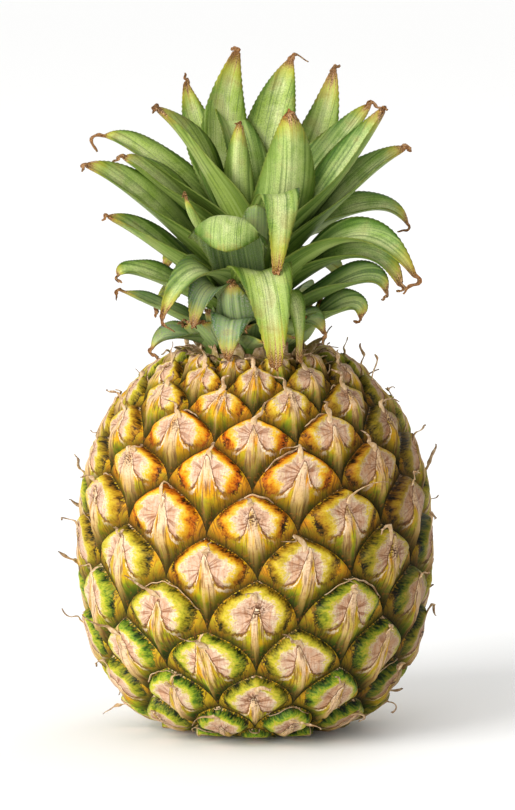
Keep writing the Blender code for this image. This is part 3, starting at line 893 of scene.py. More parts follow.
        lengths = corners(length)
        kept = ~(np.all(lengths <= 0.0, axis=-1) | np.all(lengths >= form.total, axis=-1))
        middle = columns * math.pi / form.eyes
        ripe = self.ripeness(middle, form.length_of(whorls), draws[:, 6])[:, None, None]
        turn = np.angle(np.exp(1j * middle))
        # painted shade of the fruit's right side, sent to the finish as the second part of eye_look
        painted_shade = (self.shade_share * np.exp(-((turn - self.shade_turn) / self.shade_span) ** 2))[:, None, None]
        spot = np.clip(2.0 * draws[:, 5] - 0.6, 0.0, 1.0)[:, None, None]
        fields = {
            "eye_edge": (from_band, from_foot, margin),
            "eye_place": (fan, y, 6.0 * draw[:, 7] + 0.0 * y),
            "eye_look": (ripe, painted_shade, spot),
        }
        packed = {name: np.stack([corners(v)[kept] for v in parts], axis=-1).reshape(-1, 3)
                  for name, parts in fields.items()}
        used, renumbered = np.unique(faces[kept].ravel(), return_inverse=True)
        return mesh_piece("rind", points[used], renumbered.reshape(-1, 4), packed, material)


@dataclass
class Strip:
    """A thin dry strip swept along a path, flat in section and narrower towards its tip."""

    path: np.ndarray
    across: np.ndarray
    widths: np.ndarray
    thickness: np.ndarray
    green: float = 0.0
    sides: int = 8

    def mesh(self) -> tuple[np.ndarray, np.ndarray, np.ndarray]:
        """Points, quads and the share of the length at each face corner."""
        tangent = np.gradient(self.path, axis=0)
        tangent /= np.linalg.norm(tangent, axis=1)[:, None]
        side = self.across - tangent * np.sum(self.across * tangent, axis=1)[:, None]
        side /= np.linalg.norm(side, axis=1)[:, None]
        lift = np.cross(tangent, side)
        turn = np.linspace(0.0, 2.0 * math.pi, self.sides, endpoint=False)
        ring = (side[:, None, :] * (np.cos(turn)[None, :, None] * self.widths[:, None, None] / 2.0)
                + lift[:, None, :] * (np.sin(turn)[None, :, None] * self.thickness[:, None, None] / 2.0))
        points = (self.path[:, None, :] + ring).reshape(-1, 3)
        rows, sides = len(self.path), self.sides
        row, spoke = np.meshgrid(np.arange(rows - 1), np.arange(sides), indexing="ij")
        after = (spoke + 1) % sides
        faces = np.stack([row * sides + spoke, row * sides + after, (row + 1) * sides + after,
                          (row + 1) * sides + spoke], axis=-1).reshape(-1, 4)
        share = (row[..., None] + np.array([0, 0, 1, 1])) / (rows - 1)
        return points, faces, share.reshape(-1)


def strips_piece(name: str, strips: Iterable[Strip], material: bpy.types.Material) -> bpy.types.Object:
    """Join strips in one object.

    Args:
        name: the piece's name.
        strips: the strips.
        material: their finish.

    Returns:
        The new object.
    """
    points, faces, shares, offset = [], [], [], 0
    for index, strip in enumerate(strips):
        strip_points, strip_faces, strip_shares = strip.mesh()
        points.append(strip_points)
        faces.append(strip_faces + offset)
        zeros = np.zeros_like(strip_shares)
        shares.append(np.stack([strip_shares, zeros + index, zeros + strip.green], axis=-1))
        offset += len(strip_points)
    return mesh_piece(name, np.concatenate(points), np.concatenate(faces),
                      {"strip_place": np.concatenate(shares)}, material)


@dataclass
class BractTips:
    """The dried tips of the bracts: each runs up its eye's ridge and curls away over the rim."""

    rind: Rind
    seed: int = 11
    first_whorl: int = 1
    last_whorl: int = 10
    start: float = 0.42
    reach: float = 0.75
    ridge_height: float = 3.5 * MM
    draped_share: float = 0.4
    draped_lifts: tuple = (0.5 * MM, 4.5 * MM)
    lifts: tuple = (4.0 * MM, 9.0 * MM)
    hook_reach: float = 0.09
    hook_height: float = 1.1 * MM
    flutter: float = 0.7 * MM
    root_width: float = 2.2 * MM
    tip_width: float = 0.6 * MM
    rows: int = 30

    def strips(self) -> list[Strip]:
        """All the tips, whorl by whorl."""
        draw = random.Random(self.seed)
        return [self.strip(2 * eye + whorl % 2, whorl, draw)
                for whorl in range(self.first_whorl, self.last_whorl + 1)
                for eye in range(self.rind.form.eyes)]

    def strip(self, column: int, whorl: int, draw: random.Random) -> Strip:
        """One tip.

        Args:
            column: half eyes round the fruit.
            whorl: number of its whorl.
            draw: draws for its length, lean, lift and hook.

        Returns:
            The strip.
        """
        share = np.linspace(0.0, 1.0, self.rows)
        sway = draw.choice((-1.0, 1.0)) * draw.uniform(0.2, 0.6)
        wave = draw.uniform(0.03, 0.08)
        phase = draw.uniform(0.0, 2.0 * math.pi)
        reach = self.reach * draw.uniform(0.7, 1.25)
        if draw.random() < self.draped_share:
            over = np.clip((share - 0.3) / 0.7, 0.0, 1.0)
            x = sway * over ** 1.3
            y = self.start + (1.03 - self.start) * smooth_step(share / 0.55) - 0.7 * np.abs(sway) * over ** 1.5
            raised = self.ridge_height + draw.uniform(*self.draped_lifts) * share ** 1.5
        else:
            x = 0.8 * sway * share ** 2
            turned = draw.choice((-1.0, 1.0)) * draw.uniform(1.2, 3.4) * np.clip((share - 0.55) / 0.45, 0.0, 1.0)
            hooked = self.hook_reach * (1.0 - np.cos(turned)) * np.sign(turned)
            y = self.start + reach * share * (1.0 - 0.3 * share) + hooked
            raised = self.ridge_height + draw.uniform(*self.lifts) * share ** 1.4
            raised = raised + self.hook_height * np.sin(np.abs(turned))
        x = x + wave * np.sin(11.0 * share + phase) * share
        y = y + 0.7 * wave * np.sin(13.0 * share - phase) * share
        raised = raised + self.flutter * np.sin(10.0 * share + 2.0 * phase) * share
        path = self.rind.trace(column, whorl, x, y, raised)
        out = self.rind.trace(column, whorl, x, y, raised + MM) - path
        azimuth = column * math.pi / self.rind.form.eyes
        side = np.array([math.cos(azimuth), math.sin(azimuth), 0.0])
        twist = draw.uniform(-2.6, 2.6) * share ** 1.5
        across = np.cos(twist)[:, None] * side + np.sin(twist)[:, None] * out / MM
        ragged = 1.0 + 0.22 * np.sin(23.0 * share + phase) * np.sin(math.pi * share)
        widths = (self.tip_width + (self.root_width - self.tip_width) * (1.0 - share ** 1.6)) * ragged
        return Strip(path, across, widths, 0.16 * widths + 0.15 * MM, 0.1)


@dataclass
class BractEdges:
    """Thin papery edges that lie along the tops of the arched rims."""

    rind: Rind
    seed: int = 41
    first_whorl: int = 0
    last_whorl: int = 11
    kept_share: float = 0.42
    height: float = 1.9 * MM
    width: float = 0.85 * MM
    offset: float = 0.03
    rows: int = 36

    def strips(self) -> list[Strip]:
        """All the edges, whorl by whorl."""
        draw = random.Random(self.seed)
        return [self.strip(2 * eye + whorl % 2, whorl, draw)
                for whorl in range(self.first_whorl, self.last_whorl + 1)
                for eye in range(self.rind.form.eyes) if draw.random() < self.kept_share]

    def strip(self, column: int, whorl: int, draw: random.Random) -> Strip:
        """One edge, from somewhere on the left of the arch to somewhere on its right."""
        x = np.linspace(-draw.uniform(0.0, 0.75), draw.uniform(0.0, 0.75), self.rows)
        share = np.linspace(0.0, 1.0, self.rows)
        phase = draw.uniform(0.0, 2.0 * math.pi)
        wobble = 0.03 * np.sin(x * 11.0 + phase) + 0.015 * np.sin(x * 27.0 - phase)
        y = 1.0 - np.sqrt(x * x + 0.004) + self.offset + wobble
        raised = self.height * (0.75 + 0.35 * np.sin(x * 7.0 - phase)) * np.sin(math.pi * share) ** 0.3
        path = self.rind.trace(column, whorl, x, y, raised)
        out = self.rind.trace(column, whorl, x, y, raised + MM) - path
        rise = self.rind.trace(column, whorl, x, y + 0.05, raised) - path
        across = out / MM + 0.9 * rise / np.linalg.norm(rise, axis=1)[:, None]
        widths = self.width * draw.uniform(0.6, 1.1) * np.sin(math.pi * share) ** 0.5 + 0.2 * MM
        return Strip(path, across, widths, np.full(self.rows, 0.3 * MM), 0.0)


@dataclass
class NeckBracts:
    """The ring of small dried bracts between the fruit and the foot of the crown."""

    form: FruitForm
    seed: int = 23
    rings: tuple = ((17.9, 22, 8.0, 0.2), (19.0, 20, 7.5, 0.8), (21.2, 22, 7.0, 1.0), (24.0, 24, 6.5, 1.0),
                    (27.5, 22, 5.5, 1.0))
    root_drop: float = 1.8 * MM
    width: float = 6.5 * MM
    rows: int = 12

    def strips(self) -> list[Strip]:
        """All the small bracts, ring by ring."""
        draw = random.Random(self.seed)
        made = []
        for ring, (radius_mm, count, length_mm, splay) in enumerate(self.rings):
            for index in range(count):
                azimuth = 2.0 * math.pi * (index + 0.5 * ring + draw.uniform(-0.3, 0.3)) / count
                length = length_mm * MM * draw.uniform(0.6, 1.15)
                made.append(self.strip(radius_mm * MM, azimuth, length, splay, draw))
        return made

    def strip(self, radius: float, azimuth: float, length: float, splay: float, draw: random.Random) -> Strip:
        """One small bract that rises from the neck and curls outward.

        Args:
            radius: its root's distance from the axis.
            azimuth: its place round the neck, in radians.
            length: its length.
            splay: how far it leans out, 1 for the outer rings.
            draw: draws for its lean, curl and twist.

        Returns:
            The strip.
        """
        top = self.form.lengths[-1]
        upper = slice(self.form.samples // 2, None)
        place = np.interp(-radius, -self.form.radii[upper], self.form.lengths[upper])
        height = float(np.interp(min(place, top), self.form.lengths, self.form.heights)) - self.root_drop
        outward = np.array([math.sin(azimuth), -math.cos(azimuth), 0.0])
        side = np.array([math.cos(azimuth), math.sin(azimuth), 0.0])
        share = np.linspace(0.0, 1.0, self.rows)
        lean = draw.uniform(0.2, 0.9) * splay
        curl = draw.uniform(0.2, 1.2) * splay
        aside = draw.uniform(-0.5, 0.5)
        rise = length * (share - 0.45 * curl * share ** 3)
        run = length * (lean * share ** 1.3 + 0.5 * curl * share ** 3)
        path = (np.array([0.0, 0.0, height]) + np.outer(radius + run, outward)
                + np.outer(aside * length * share ** 2, side) + np.outer(rise, [0.0, 0.0, 1.0]))
        twist = draw.uniform(-1.0, 1.0) * (0.3 + share) * (0.3 + 0.7 * splay)
        across = np.cos(twist)[:, None] * side + np.sin(twist)[:, None] * outward
        widths = self.width * draw.uniform(0.6, 1.1) * (1.0 - share ** 1.8) + 0.4 * MM
        return Strip(path, across, widths, np.full(self.rows, 0.35 * MM), draw.uniform(0.2, 1.0))


class Blade(Enum):
    """How a leaf's blade is bent across: the power of its section and its half angle in degrees."""

    GUTTER = (1.25, 34.0)
    ROUNDED = (1.9, 30.0)
    FLAT = (1.6, 12.0)
    CREASED = (1.15, 16.0)
    DOMED = (2.8, -33.0)


class Tip(Enum):
    """How a leaf ends: length of its dried tail in millimetres, power of its taper, share of width at its end."""

    CURLED = (5.0, 1.6, 0.15)
    LONG = (8.0, 1.5, 0.13)
    SHORT = (2.6, 1.8, 0.20)
    BLUNT = (0.06, 5.5, 0.0)


@dataclass
class Leaf:
    """One crown leaf, with the part's own sizes in degrees and millimetres."""

    azimuth: float
    drift: float
    root_height: float
    shoulder_radius: float
    shoulder_height: float
    tip_radius: float
    tip_height: float
    width: float
    blade: Blade = Blade.GUTTER
    tip: Tip = Tip.CURLED
    blue: float = 0.0
    lime: float = 0.3
    roll: float = 28.0
    under_blue: float | None = None


@dataclass
class Crown:
    """The crown's stem and its leaves, each a channelled blade with a toothed edge and a dried tail."""

    shift: float = -1.9 * MM
    stem_bottom: float = 141.3 * MM
    stem_top: float = 189.0 * MM
    stem_bottom_radius: float = 17.5 * MM
    stem_top_radius: float = 4.5 * MM
    root_depth: float = 3.0 * MM
    tip_width: float = 2.6 * MM
    blunt_width: float = 0.3 * MM
    blunt_root: float = 0.6
    widest: float = 0.3
    broad: float = 1.12
    thickness: float = 1.3 * MM
    edge_thickness: float = 0.4 * MM
    tooth: float = 0.32 * MM
    rows: int = 64
    tail_rows: int = 16
    columns: int = 12
    seed: int = 31

    def stem_radius(self, height: float) -> float:
        """Radius of the stem at a height."""
        share = (height - self.stem_bottom) / (self.stem_top - self.stem_bottom)
        return self.stem_bottom_radius + (self.stem_top_radius - self.stem_bottom_radius) * share

    def places(self, leaf: Leaf) -> np.ndarray:
        """Places of a blade's rows, closer together at a blunt end, which is round."""
        even = np.linspace(0.0, 1.0, self.rows)
        return np.sin(even * math.pi / 2.0) if leaf.tip is Tip.BLUNT else even

    def middle_line(self, leaf: Leaf, draw: random.Random) -> tuple[np.ndarray, np.ndarray, np.ndarray]:
        """Middle line of a blade and of its tail.

        Args:
            leaf: the leaf's sizes.
            draw: draws for the tail's curl.

        Returns:
            Points, sideways directions and upper-face directions, one row each.
        """
        root = np.array([self.stem_radius(leaf.root_height * MM) - self.root_depth, leaf.root_height * MM])
        shoulder = np.array([leaf.shoulder_radius, leaf.shoulder_height]) * MM
        tip = np.array([leaf.tip_radius, leaf.tip_height]) * MM
        pull = 2.0 * shoulder - (root + tip) / 2.0
        share = self.places(leaf)[:, None]
        rest = 1.0 - share
        line = rest * rest * root + 2.0 * share * rest * pull + share * share * tip
        slope = rest * (pull - root) + share * (tip - pull)
        angle = np.arctan2(slope[:, 1], slope[:, 0])
        tail_share = np.linspace(0.0, 1.0, self.tail_rows + 1)[1:]
        curl = -draw.uniform(0.8, 2.8)
        crumple = draw.uniform(0.5, 1.1) * np.sin(tail_share * draw.uniform(6.0, 11.0))
        length = leaf.tip.value[0] * MM * draw.uniform(0.7, 1.3)
        tail_angle = angle[-1] + curl * tail_share + crumple
        tail_steps = np.stack([np.cos(tail_angle), np.sin(tail_angle)], axis=-1) * length / self.tail_rows
        line = np.concatenate([line, line[-1] + np.cumsum(tail_steps, axis=0)])
        angle = np.concatenate([angle, tail_angle])
        sway = draw.uniform(-0.7, 0.7)
        place = np.concatenate([share[:, 0], np.ones(self.tail_rows)])
        azimuth = np.radians(leaf.azimuth + leaf.drift * place)
        outward = np.stack([np.sin(azimuth), -np.cos(azimuth), np.zeros_like(azimuth)], axis=-1)
        side = np.stack([np.cos(azimuth), np.sin(azimuth), np.zeros_like(azimuth)], axis=-1)
        raised = np.array([0.0, 0.0, 1.0])
        aside = np.concatenate([np.zeros(self.rows), sway * length * tail_share ** 2])
        points = (outward * line[:, :1] + raised * line[:, 1:] + np.array([self.shift, 0.0, 0.0])
                  + side * aside[:, None])
        upper = outward * -np.sin(angle)[:, None] + raised * np.cos(angle)[:, None]
        twist = draw.uniform(-1.6, 1.6) * np.concatenate([np.zeros(self.rows), tail_share])
        roll = -np.sin(azimuth) * math.radians(leaf.roll) * smooth_step(place / 0.6) + twist
        turned = side * np.cos(roll)[:, None] - upper * np.sin(roll)[:, None]
        upper = upper * np.cos(roll)[:, None] + side * np.sin(roll)[:, None]
        return points, turned, upper

    def half_widths(self, leaf: Leaf, share: np.ndarray, tail: np.ndarray, draw: random.Random) -> np.ndarray:
        """Half widths of a blade, which tapers almost straight, and of its ragged dried tail.

        Args:
            leaf: the leaf's sizes.
            share: places along the blade, over 1 on the tail.
            tail: places along the tail, 0 on the blade.
            draw: draws for the ragged edge.

        Returns:
            One half width for each place.
        """
        _, power, end = leaf.tip.value
        place = np.clip(share, 0.0, 1.0)
        if leaf.tip is Tip.BLUNT:
            swell = self.blunt_root + (1.0 - self.blunt_root) * smooth_step(place / 0.75)
            return np.maximum(leaf.width * MM * swell * np.sqrt(1.0 - place ** power), self.blunt_width) / 2.0
        narrowed = np.clip((place - self.widest) / (1.0 - self.widest), 0.0, 1.0) ** power
        widths = np.maximum(leaf.width * self.broad * MM * (1.0 - (1.0 - end) * narrowed), self.tip_width)
        ragged = 1.0 + 0.3 * np.sin(tail * 19.0 + draw.uniform(0.0, 6.0)) * np.sin(math.pi * tail)
        return widths * (1.0 - 0.78 * tail ** 0.9) * ragged / 2.0

    def blade(self, index: int, leaf: Leaf, draw: random.Random) -> tuple[np.ndarray, np.ndarray, dict]:
        """Points, quads and corner fields of one leaf.

        Args:
            index: the leaf's number.
            leaf: its sizes.
            draw: draws for its waves and its tail.

        Returns:
            Points, faces and fields.
        """
        line, side, upper = self.middle_line(leaf, draw)
        power, opening = leaf.blade.value
        channel = math.radians(opening)
        share = np.concatenate([self.places(leaf), 1.0 + np.linspace(0.0, 0.2, self.tail_rows + 1)[1:]])
        tail = np.clip((share - 1.0) / 0.2, 0.0, 1.0)
        half = self.half_widths(leaf, share, tail, draw)
        toothed = self.tooth * (np.arange(len(share)) % 2) * np.clip((half / MM - 1.0) / 3.0, 0.0, 1.0)
        across = np.linspace(-1.0, 1.0, self.columns + 1)
        bow = np.abs(across) ** power
        wave = draw.uniform(0.2, 0.5) * MM * np.sin(share * draw.uniform(9.0, 16.0) + draw.uniform(0.0, 6.0))
        reach = half[:, None] * across[None, :] * math.cos(channel)
        reach = reach + toothed[:, None] * np.sign(across)[None, :] * (np.abs(across) > 0.99)[None, :]
        lift = half[:, None] * bow[None, :] * math.sin(channel) + wave[:, None] * (across ** 3)[None, :]
        middle = line[:, None, :] + side[:, None, :] * reach[..., None] + upper[:, None, :] * lift[..., None]
        thick = self.edge_thickness + (self.thickness - self.edge_thickness) * (1.0 - across ** 4)
        thick = thick[None, :] * np.clip(half / (3.0 * MM), 0.45, 1.0)[:, None] / 2.0
        over = middle + upper[:, None, :] * thick[..., None]
        under = middle - upper[:, None, :] * thick[..., None]
        rows, columns = over.shape[:2]
        points = np.concatenate([over.reshape(-1, 3), under.reshape(-1, 3)])
        number = np.arange(rows * columns).reshape(rows, columns)
        top = np.stack([number[:-1, :-1], number[:-1, 1:], number[1:, 1:], number[1:, :-1]], axis=-1).reshape(-1, 4)
        bottom = top[:, ::-1] + rows * columns
        loop = np.concatenate([number[0, :], number[1:, -1], number[-1, -2::-1], number[-2:0:-1, 0]])
        after = np.roll(loop, -1)
        wall = np.stack([loop, loop + rows * columns, after + rows * columns, after], axis=-1)
        faces = np.concatenate([top, bottom, wall])
        u = np.tile(np.repeat(share, columns), 2)
        v = np.tile(np.tile(across, rows), 2)
        if leaf.tip is Tip.BLUNT:
            v = np.maximum(np.abs(v), np.clip(u, 0.0, 1.0) ** 12)
            u = u * 0.85
        distance = np.concatenate([[0.0], np.cumsum(np.linalg.norm(np.diff(line, axis=0), axis=1))]) / MM
        along = np.tile(np.repeat(distance, columns), 2)
        aside = np.tile((across[None, :] * np.maximum(half, 3.0 * MM)[:, None] / MM).ravel(), 2)
        face = np.repeat([1.0, 0.0], rows * columns)
        under_blue = leaf.blue if leaf.under_blue is None else leaf.under_blue
        tone = np.stack([np.where(face > 0.5, leaf.blue, under_blue), np.full(len(points), leaf.lime)], axis=-1)
        fields = {
            "blade_place": np.stack([u, v, face], axis=-1)[faces.ravel()],
            "blade_mm": np.stack([aside, along, np.full(len(points), 13.1 * index)], axis=-1)[faces.ravel()],
            "blade_tone": np.concatenate([tone, face[:, None]], axis=1)[faces.ravel()],
        }
        return points, faces, fields

    def build(self, name: str, leaves: Sequence[Leaf], material: bpy.types.Material) -> bpy.types.Object:
        """Build one group of leaves as one piece.

        Args:
            name: the piece's name.
            leaves: its leaves.
            material: their finish.

        Returns:
            The piece.
        """
        draw = random.Random(f"{self.seed} {name}")
        parts = [self.blade(index, leaf, draw) for index, leaf in enumerate(leaves)]
        offsets = np.cumsum([0] + [len(points) for points, _, _ in parts[:-1]])
        points = np.concatenate([points for points, _, _ in parts])
        faces = np.concatenate([faces + offset for (_, faces, _), offset in zip(parts, offsets)])
        fields = {key: np.concatenate([fields[key] for _, _, fields in parts]) for key in parts[0][2]}
        return mesh_piece(name, points, faces, fields, material)


FRONT_LEAVES = (
    Leaf(-140, 0, 186, 15, 217, 8, 252, 21, Blade.FLAT, lime=0.9, roll=45),
    Leaf(150, 0, 184, 15, 222, 30, 247, 20, Blade.FLAT, Tip.LONG, lime=0.8, roll=45),
    Leaf(135, 0, 180, 30, 209, 44, 242, 19, Blade.FLAT, lime=0.9, roll=50),
    Leaf(-130, 0, 184, 21, 214, 31, 239, 15, Blade.FLAT, lime=0.9, roll=45),
    Leaf(-60, 0, 178, 21, 212, 39, 233, 24, Blade.GUTTER, lime=0.9, roll=38),
    Leaf(-20, 0, 180, 13, 205, 11, 227, 13, Blade.ROUNDED, Tip.SHORT, lime=0.8, roll=-40),
    Leaf(52, -12, 165, 20, 202, 23, 231, 25, Blade.ROUNDED, Tip.SHORT, lime=0.4, roll=-50),
    Leaf(110, 0, 180, 30, 211, 47, 231, 19, tip=Tip.LONG, lime=0.1, roll=35),
    Leaf(75, 0, 172, 34, 206, 51, 232, 22, tip=Tip.SHORT, lime=0.1, roll=35),
    Leaf(85, 0, 168, 37, 201, 57, 217, 21, lime=0.2, roll=32),
    Leaf(100, 0, 174, 40, 193, 59, 188, 16, lime=0.2),
    Leaf(60, 0, 160, 42, 186, 69, 174, 20, Blade.ROUNDED, Tip.LONG, lime=0.2),
    Leaf(78, 0, 160, 38, 178, 56, 168, 20, lime=0.1),
    Leaf(73, 0, 152, 40, 169, 52, 166, 17, Blade.ROUNDED, blue=0.2),
    Leaf(70, 0, 145, 36, 159, 43, 157, 17, Blade.ROUNDED, blue=0.2),
    Leaf(24, -9, 178, 33, 203, 38, 176, 15, Blade.FLAT, Tip.SHORT, lime=0.6),
    Leaf(4, 9, 158, 34, 174, 42, 142, 21, Blade.CREASED, Tip.SHORT, lime=1.0),
    Leaf(31, 0, 155, 30, 165, 35, 143, 8, Blade.FLAT, lime=0.7),
    Leaf(-11, 0, 168, 35, 195, 45, 184, 37, Blade.DOMED, Tip.BLUNT, lime=0.5, under_blue=0.7),
    Leaf(-50, 0, 172, 24, 188, 31, 201, 10, lime=0.7),
    Leaf(-95, 0, 182, 36, 211, 54, 221, 18, tip=Tip.LONG, lime=0.8),
    Leaf(-80, 0, 178, 34, 204, 47, 214, 17, lime=0.7),
    Leaf(-75, 0, 165, 40, 197, 62, 212, 22, lime=0.6, roll=38),
    Leaf(-65, 0, 160, 38, 182, 57, 194, 20, lime=0.3),
    Leaf(-80, 0, 156, 38, 170, 49, 171, 14, lime=0.3),
    Leaf(-70, 0, 147, 33, 158, 50, 166, 11, blue=0.4),
    Leaf(-27, -16, 160, 31, 174, 46, 160, 17, Blade.ROUNDED, Tip.LONG, blue=0.2, lime=0.5),
    Leaf(-24, -14, 152, 26, 168, 33, 155, 15, Blade.ROUNDED, Tip.SHORT, blue=0.7),
    Leaf(-15, 0, 147, 23, 158, 27, 170, 18, Blade.ROUNDED, Tip.SHORT, blue=0.9),
    Leaf(-37, 0, 144, 22, 151, 26, 159, 16, Blade.ROUNDED, Tip.SHORT, blue=0.9),
    Leaf(-15, 0, 145, 26, 156, 31, 144, 16, Blade.CREASED, Tip.SHORT, blue=0.7),
    Leaf(-75, 0, 144, 29, 148, 37, 144, 12, blue=0.6),
    Leaf(6, 0, 168, 20, 184, 25, 199, 13, Blade.ROUNDED, Tip.BLUNT, blue=0.6),
    Leaf(48, 0, 146, 27, 155, 36, 152, 14, Blade.ROUNDED, blue=0.4),
)


@dataclass
class LeafRules:
    """The leaves that follow a rule: the back by the golden angle, the foot ring and the heart."""

    back_count: int = 15
    golden_part: float = 0.618034
    back_root_low: float = 145.0
    back_root_rise: float = 38.0
    back_width: float = 22.0
    foot_count: int = 15
    foot_seed: int = 5
    heart_count: int = 9
    heart_root: float = 184.0
    heart_lift: float = 19.0
    heart_width: float = 12.0
    golden_turn: float = 222.5

    def back(self) -> list[Leaf]:
        """Leaves of the back, from the lowest to the highest."""
        made = []
        for index in range(self.back_count):
            rise = index / (self.back_count - 1)
            aside = 2.0 * ((index + 0.5) * self.golden_part % 1.0) - 1.0
            azimuth = 180.0 + (82.0 - 40.0 * rise) * aside
            root = self.back_root_low + self.back_root_rise * rise
            tip_radius = (48.0 + 22.0 * math.sin(math.pi * rise) - 16.0 * rise) * (1.0 - 0.35 * abs(aside))
            tip_height = root + 8.0 + 35.0 * rise * rise + 6.0 * rise
            made.append(Leaf(azimuth, 0.0, root, 0.66 * tip_radius - 6.0 * rise, root + 15.0 + 17.0 * rise,
                             tip_radius, tip_height, self.back_width, blue=0.5 * (1.0 - rise), lime=0.4 * rise,
                             roll=0.0))
        return made

    def foot(self) -> list[Leaf]:
        """Short leaves that hug the foot of the stem, no two alike."""
        draw = random.Random(self.foot_seed)
        turn = 360.0 / self.foot_count
        return [Leaf(turn * (index + draw.uniform(-0.3, 0.3)) - 180.0, draw.uniform(-8.0, 8.0),
                     draw.uniform(141.5, 144.0), draw.uniform(20.0, 23.0), draw.uniform(147.0, 151.0),
                     draw.uniform(24.0, 34.0), draw.uniform(148.0, 160.0), draw.uniform(13.0, 18.0),
                     Blade.ROUNDED, draw.choice((Tip.SHORT, Tip.CURLED)), blue=draw.uniform(0.2, 0.6), roll=0.0)
                for index in range(self.foot_count)]

    def heart(self) -> list[Leaf]:
        """Young leaves that close the top of the stem."""
        made = []
        for index in range(self.heart_count):
            rise = index / (self.heart_count - 1)
            made.append(Leaf((index * self.golden_turn) % 360.0, 0.0, self.heart_root, 7.0 - 4.5 * rise,
                             self.heart_root + self.heart_lift / 2.0, 9.0 - 7.5 * rise,
                             self.heart_root + self.heart_lift * (0.7 + 0.25 * rise),
                             self.heart_width - 4.0 * rise, Blade.ROUNDED, Tip.SHORT, lime=0.8))
        return made


def turned_piece(name: str, outline: Sequence[tuple[float, float]], centre: float, spokes: int,
                 label: str, value: float, material: bpy.types.Material) -> bpy.types.Object:
    """Turn an outline round an upright axis.

    Args:
        name: the piece's name.
        outline: radius and height of each ring, from the lower to the upper side.
        centre: the axis's place along X.
        spokes: how many steps go round.
        label: name of the field that the finish reads.
        value: the field's value, the same all over.
        material: the finish.

    Returns:
        The new object.
    """
    turn = np.linspace(0.0, 2.0 * math.pi, spokes, endpoint=False)
    points = np.array([(centre + r * math.sin(t), -r * math.cos(t), z) for r, z in outline for t in turn])
    row, spoke = np.meshgrid(np.arange(len(outline) - 1), np.arange(spokes), indexing="ij")
    after = (spoke + 1) % spokes
    faces = np.stack([row * spokes + spoke, row * spokes + after, (row + 1) * spokes + after,
                      (row + 1) * spokes + spoke], axis=-1).reshape(-1, 4)
    return mesh_piece(name, points, faces, {label: np.full((faces.size, 3), value)}, material)


@dataclass
class Studio:
    """Pale floor, soft light and the camera at the photo's angle."""

    image_height: int = 810
    metres_per_pixel: float = 0.3714 * MM
    elevation: float = math.radians(8.0)
    lens: float = 300.0
    sensor: float = 36.0
    aim: tuple = (0.93 * MM, 121.5 * MM)
    floor_side: float = 30.0
    floor_colour: str = "#FCFCFB"
    world_colour: str = "#FFFFFF"
    world_strength: float = 0.70
    sun_strength: float = 1.9
    sun_angle: float = math.radians(35.0)
    sun_from: tuple = (-1.25, -1.1, 1.05)

    def build(self) -> None:
        """Make the floor, the lights and the camera."""
        scene = bpy.context.scene
        scene.view_settings.view_transform = "Standard"
        self.camera(scene)
        self.floor()
        self.world(scene)
        self.sun(scene)
        self.lamp("rim", (0.7, 1.3, 1.4), 0.8, 5.0)
        self.lamp("low fill", (-0.8, -1.3, 0.2), 0.9, 17.5)

    def camera(self, scene: bpy.types.Scene) -> None:
        """Put the camera far off with a long lens, which gives the photo's flat view."""
        data = bpy.data.cameras.new("camera")
        data.lens = self.lens
        data.sensor_width = self.sensor
        data.clip_end = 100.0
        distance = self.image_height * self.metres_per_pixel * self.lens / self.sensor
        camera = bpy.data.objects.new("camera", data)
        scene.collection.objects.link(camera)
        target = Vector((self.aim[0], 0.0, self.aim[1]))
        back = Vector((0.0, -math.cos(self.elevation), math.sin(self.elevation)))
        camera.location = target + back * distance
        camera.rotation_euler = (-back).to_track_quat("-Z", "Y").to_euler()
        scene.camera = camera

    def floor(self) -> None:
        """Lay a pale floor under the fruit."""
        half = self.floor_side / 2.0
        mesh = bpy.data.meshes.new("floor")
        mesh.from_pydata([(-half, -half, 0.0), (half, -half, 0.0), (half, half, 0.0), (-half, half, 0.0)],
                         [], [(0, 1, 2, 3)])
        material = bpy.data.materials.new("matt white paper")
        material.use_nodes = True
        shader = material.node_tree.nodes["Principled BSDF"]
        shader.inputs["Base Color"].default_value = srgb(self.floor_colour)
        shader.inputs["Roughness"].default_value = 0.9
        mesh.materials.append(material)
        floor = bpy.data.objects.new("floor", mesh)
        bpy.context.scene.collection.objects.link(floor)

    def world(self, scene: bpy.types.Scene) -> None:
        """Light everything softly from all sides."""
        world = bpy.data.worlds.new("soft white")
        world.use_nodes = True
        background = world.node_tree.nodes["Background"]
        background.inputs["Color"].default_value = srgb(self.world_colour)
        background.inputs["Strength"].default_value = self.world_strength
        scene.world = world

    def sun(self, scene: bpy.types.Scene) -> None:
        """Add the key: a broad, even light from the upper left front."""
        data = bpy.data.lights.new("key", "SUN")
        data.energy = self.sun_strength
        data.angle = self.sun_angle
        lamp = bpy.data.objects.new("key", data)
        lamp.location = self.sun_from
        lamp.rotation_euler = (-Vector(self.sun_from)).to_track_quat("-Z", "Y").to_euler()
        scene.collection.objects.link(lamp)

    def lamp(self, name: str, place: tuple[float, float, float], size: float, power: float) -> None:
        """Add one soft square lamp that faces the fruit."""
        data = bpy.data.lights.new(name, "AREA")
        data.size = size
        data.energy = power
        lamp = bpy.data.objects.new(name, data)
        lamp.location = place
        aim = Vector((0.0, 0.0, self.aim[1])) - lamp.location
        lamp.rotation_euler = aim.to_track_quat("-Z", "Y").to_euler()
        bpy.context.scene.collection.objects.link(lamp)


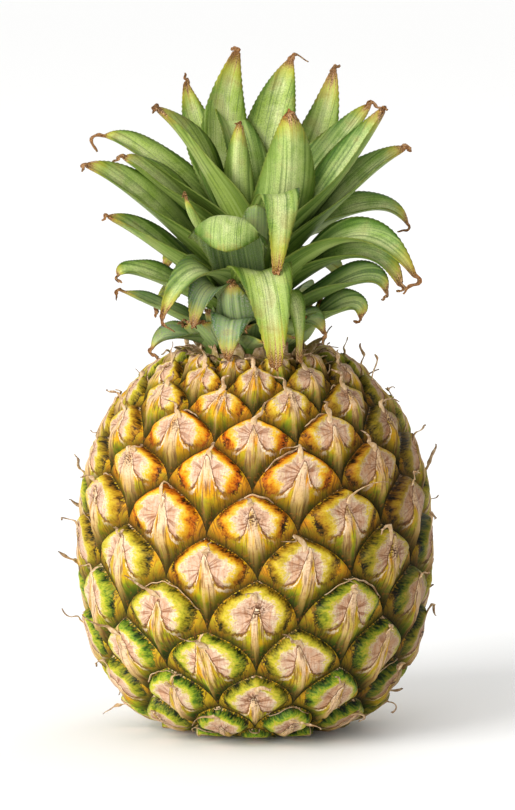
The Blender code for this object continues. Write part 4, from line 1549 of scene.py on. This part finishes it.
def main() -> None:
    """Build and dress each piece in order."""
    logging.basicConfig(level=logging.INFO, format="%(name)s %(message)s")
    rind_finish = RindFinish().build()
    bract_finish = DryBractFinish().build()
    leaf_finish = LeafFinish().build()
    stalk_finish = StalkFinish().build()

    form = FruitForm()
    rind = Rind(form)
    declare(rind.build(rind_finish), Slot.RIND, "fruit")
    foot_radius, recess_radius, recess_height = form.radii[0] + 0.2 * MM, 14.5 * MM, 6.0 * MM
    underside = ((foot_radius, 0.05 * MM), (recess_radius, 0.05 * MM), (recess_radius, recess_height),
                 (0.1 * MM, recess_height))
    declare(turned_piece("rind_underside", underside, 0.0, 96, "strip_place", 0.9, bract_finish), Slot.RIND, "fruit")
    neck = ((form.radii[-1] + 0.2 * MM, form.height), (0.1 * MM, form.height))
    declare(turned_piece("rind_neck", neck, 0.0, 96, "strip_place", 0.0, bract_finish), Slot.RIND, "fruit")
    declare(strips_piece("bract_tips", BractTips(rind).strips(), bract_finish), Slot.RIND, "fruit")
    declare(strips_piece("bract_edges", BractEdges(rind).strips(), bract_finish), Slot.RIND, "fruit")
    declare(strips_piece("neck_bracts", NeckBracts(form).strips(), bract_finish), Slot.RIND, "fruit")

    crown = Crown()
    rules = LeafRules()
    declare(crown.build("crown_front", FRONT_LEAVES, leaf_finish), Slot.LEAF, "crown")
    declare(crown.build("crown_back", rules.back(), leaf_finish), Slot.LEAF, "crown")
    declare(crown.build("crown_foot", rules.foot(), leaf_finish), Slot.LEAF, "crown")
    declare(crown.build("crown_heart", rules.heart(), leaf_finish), Slot.LEAF, "crown")
    stem = ((0.1 * MM, crown.stem_bottom), (crown.stem_bottom_radius, crown.stem_bottom),
            (crown.stem_top_radius, crown.stem_top), (0.1 * MM, crown.stem_top + 1.0 * MM))
    declare(turned_piece("crown_stem", stem, crown.shift, 48, "blade_place", 0.0, leaf_finish), Slot.LEAF, "crown")

    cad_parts["stalk"].data.materials.clear()
    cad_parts["stalk"].data.materials.append(stalk_finish)
    Studio().build()


if __name__ == "__main__":
    main()
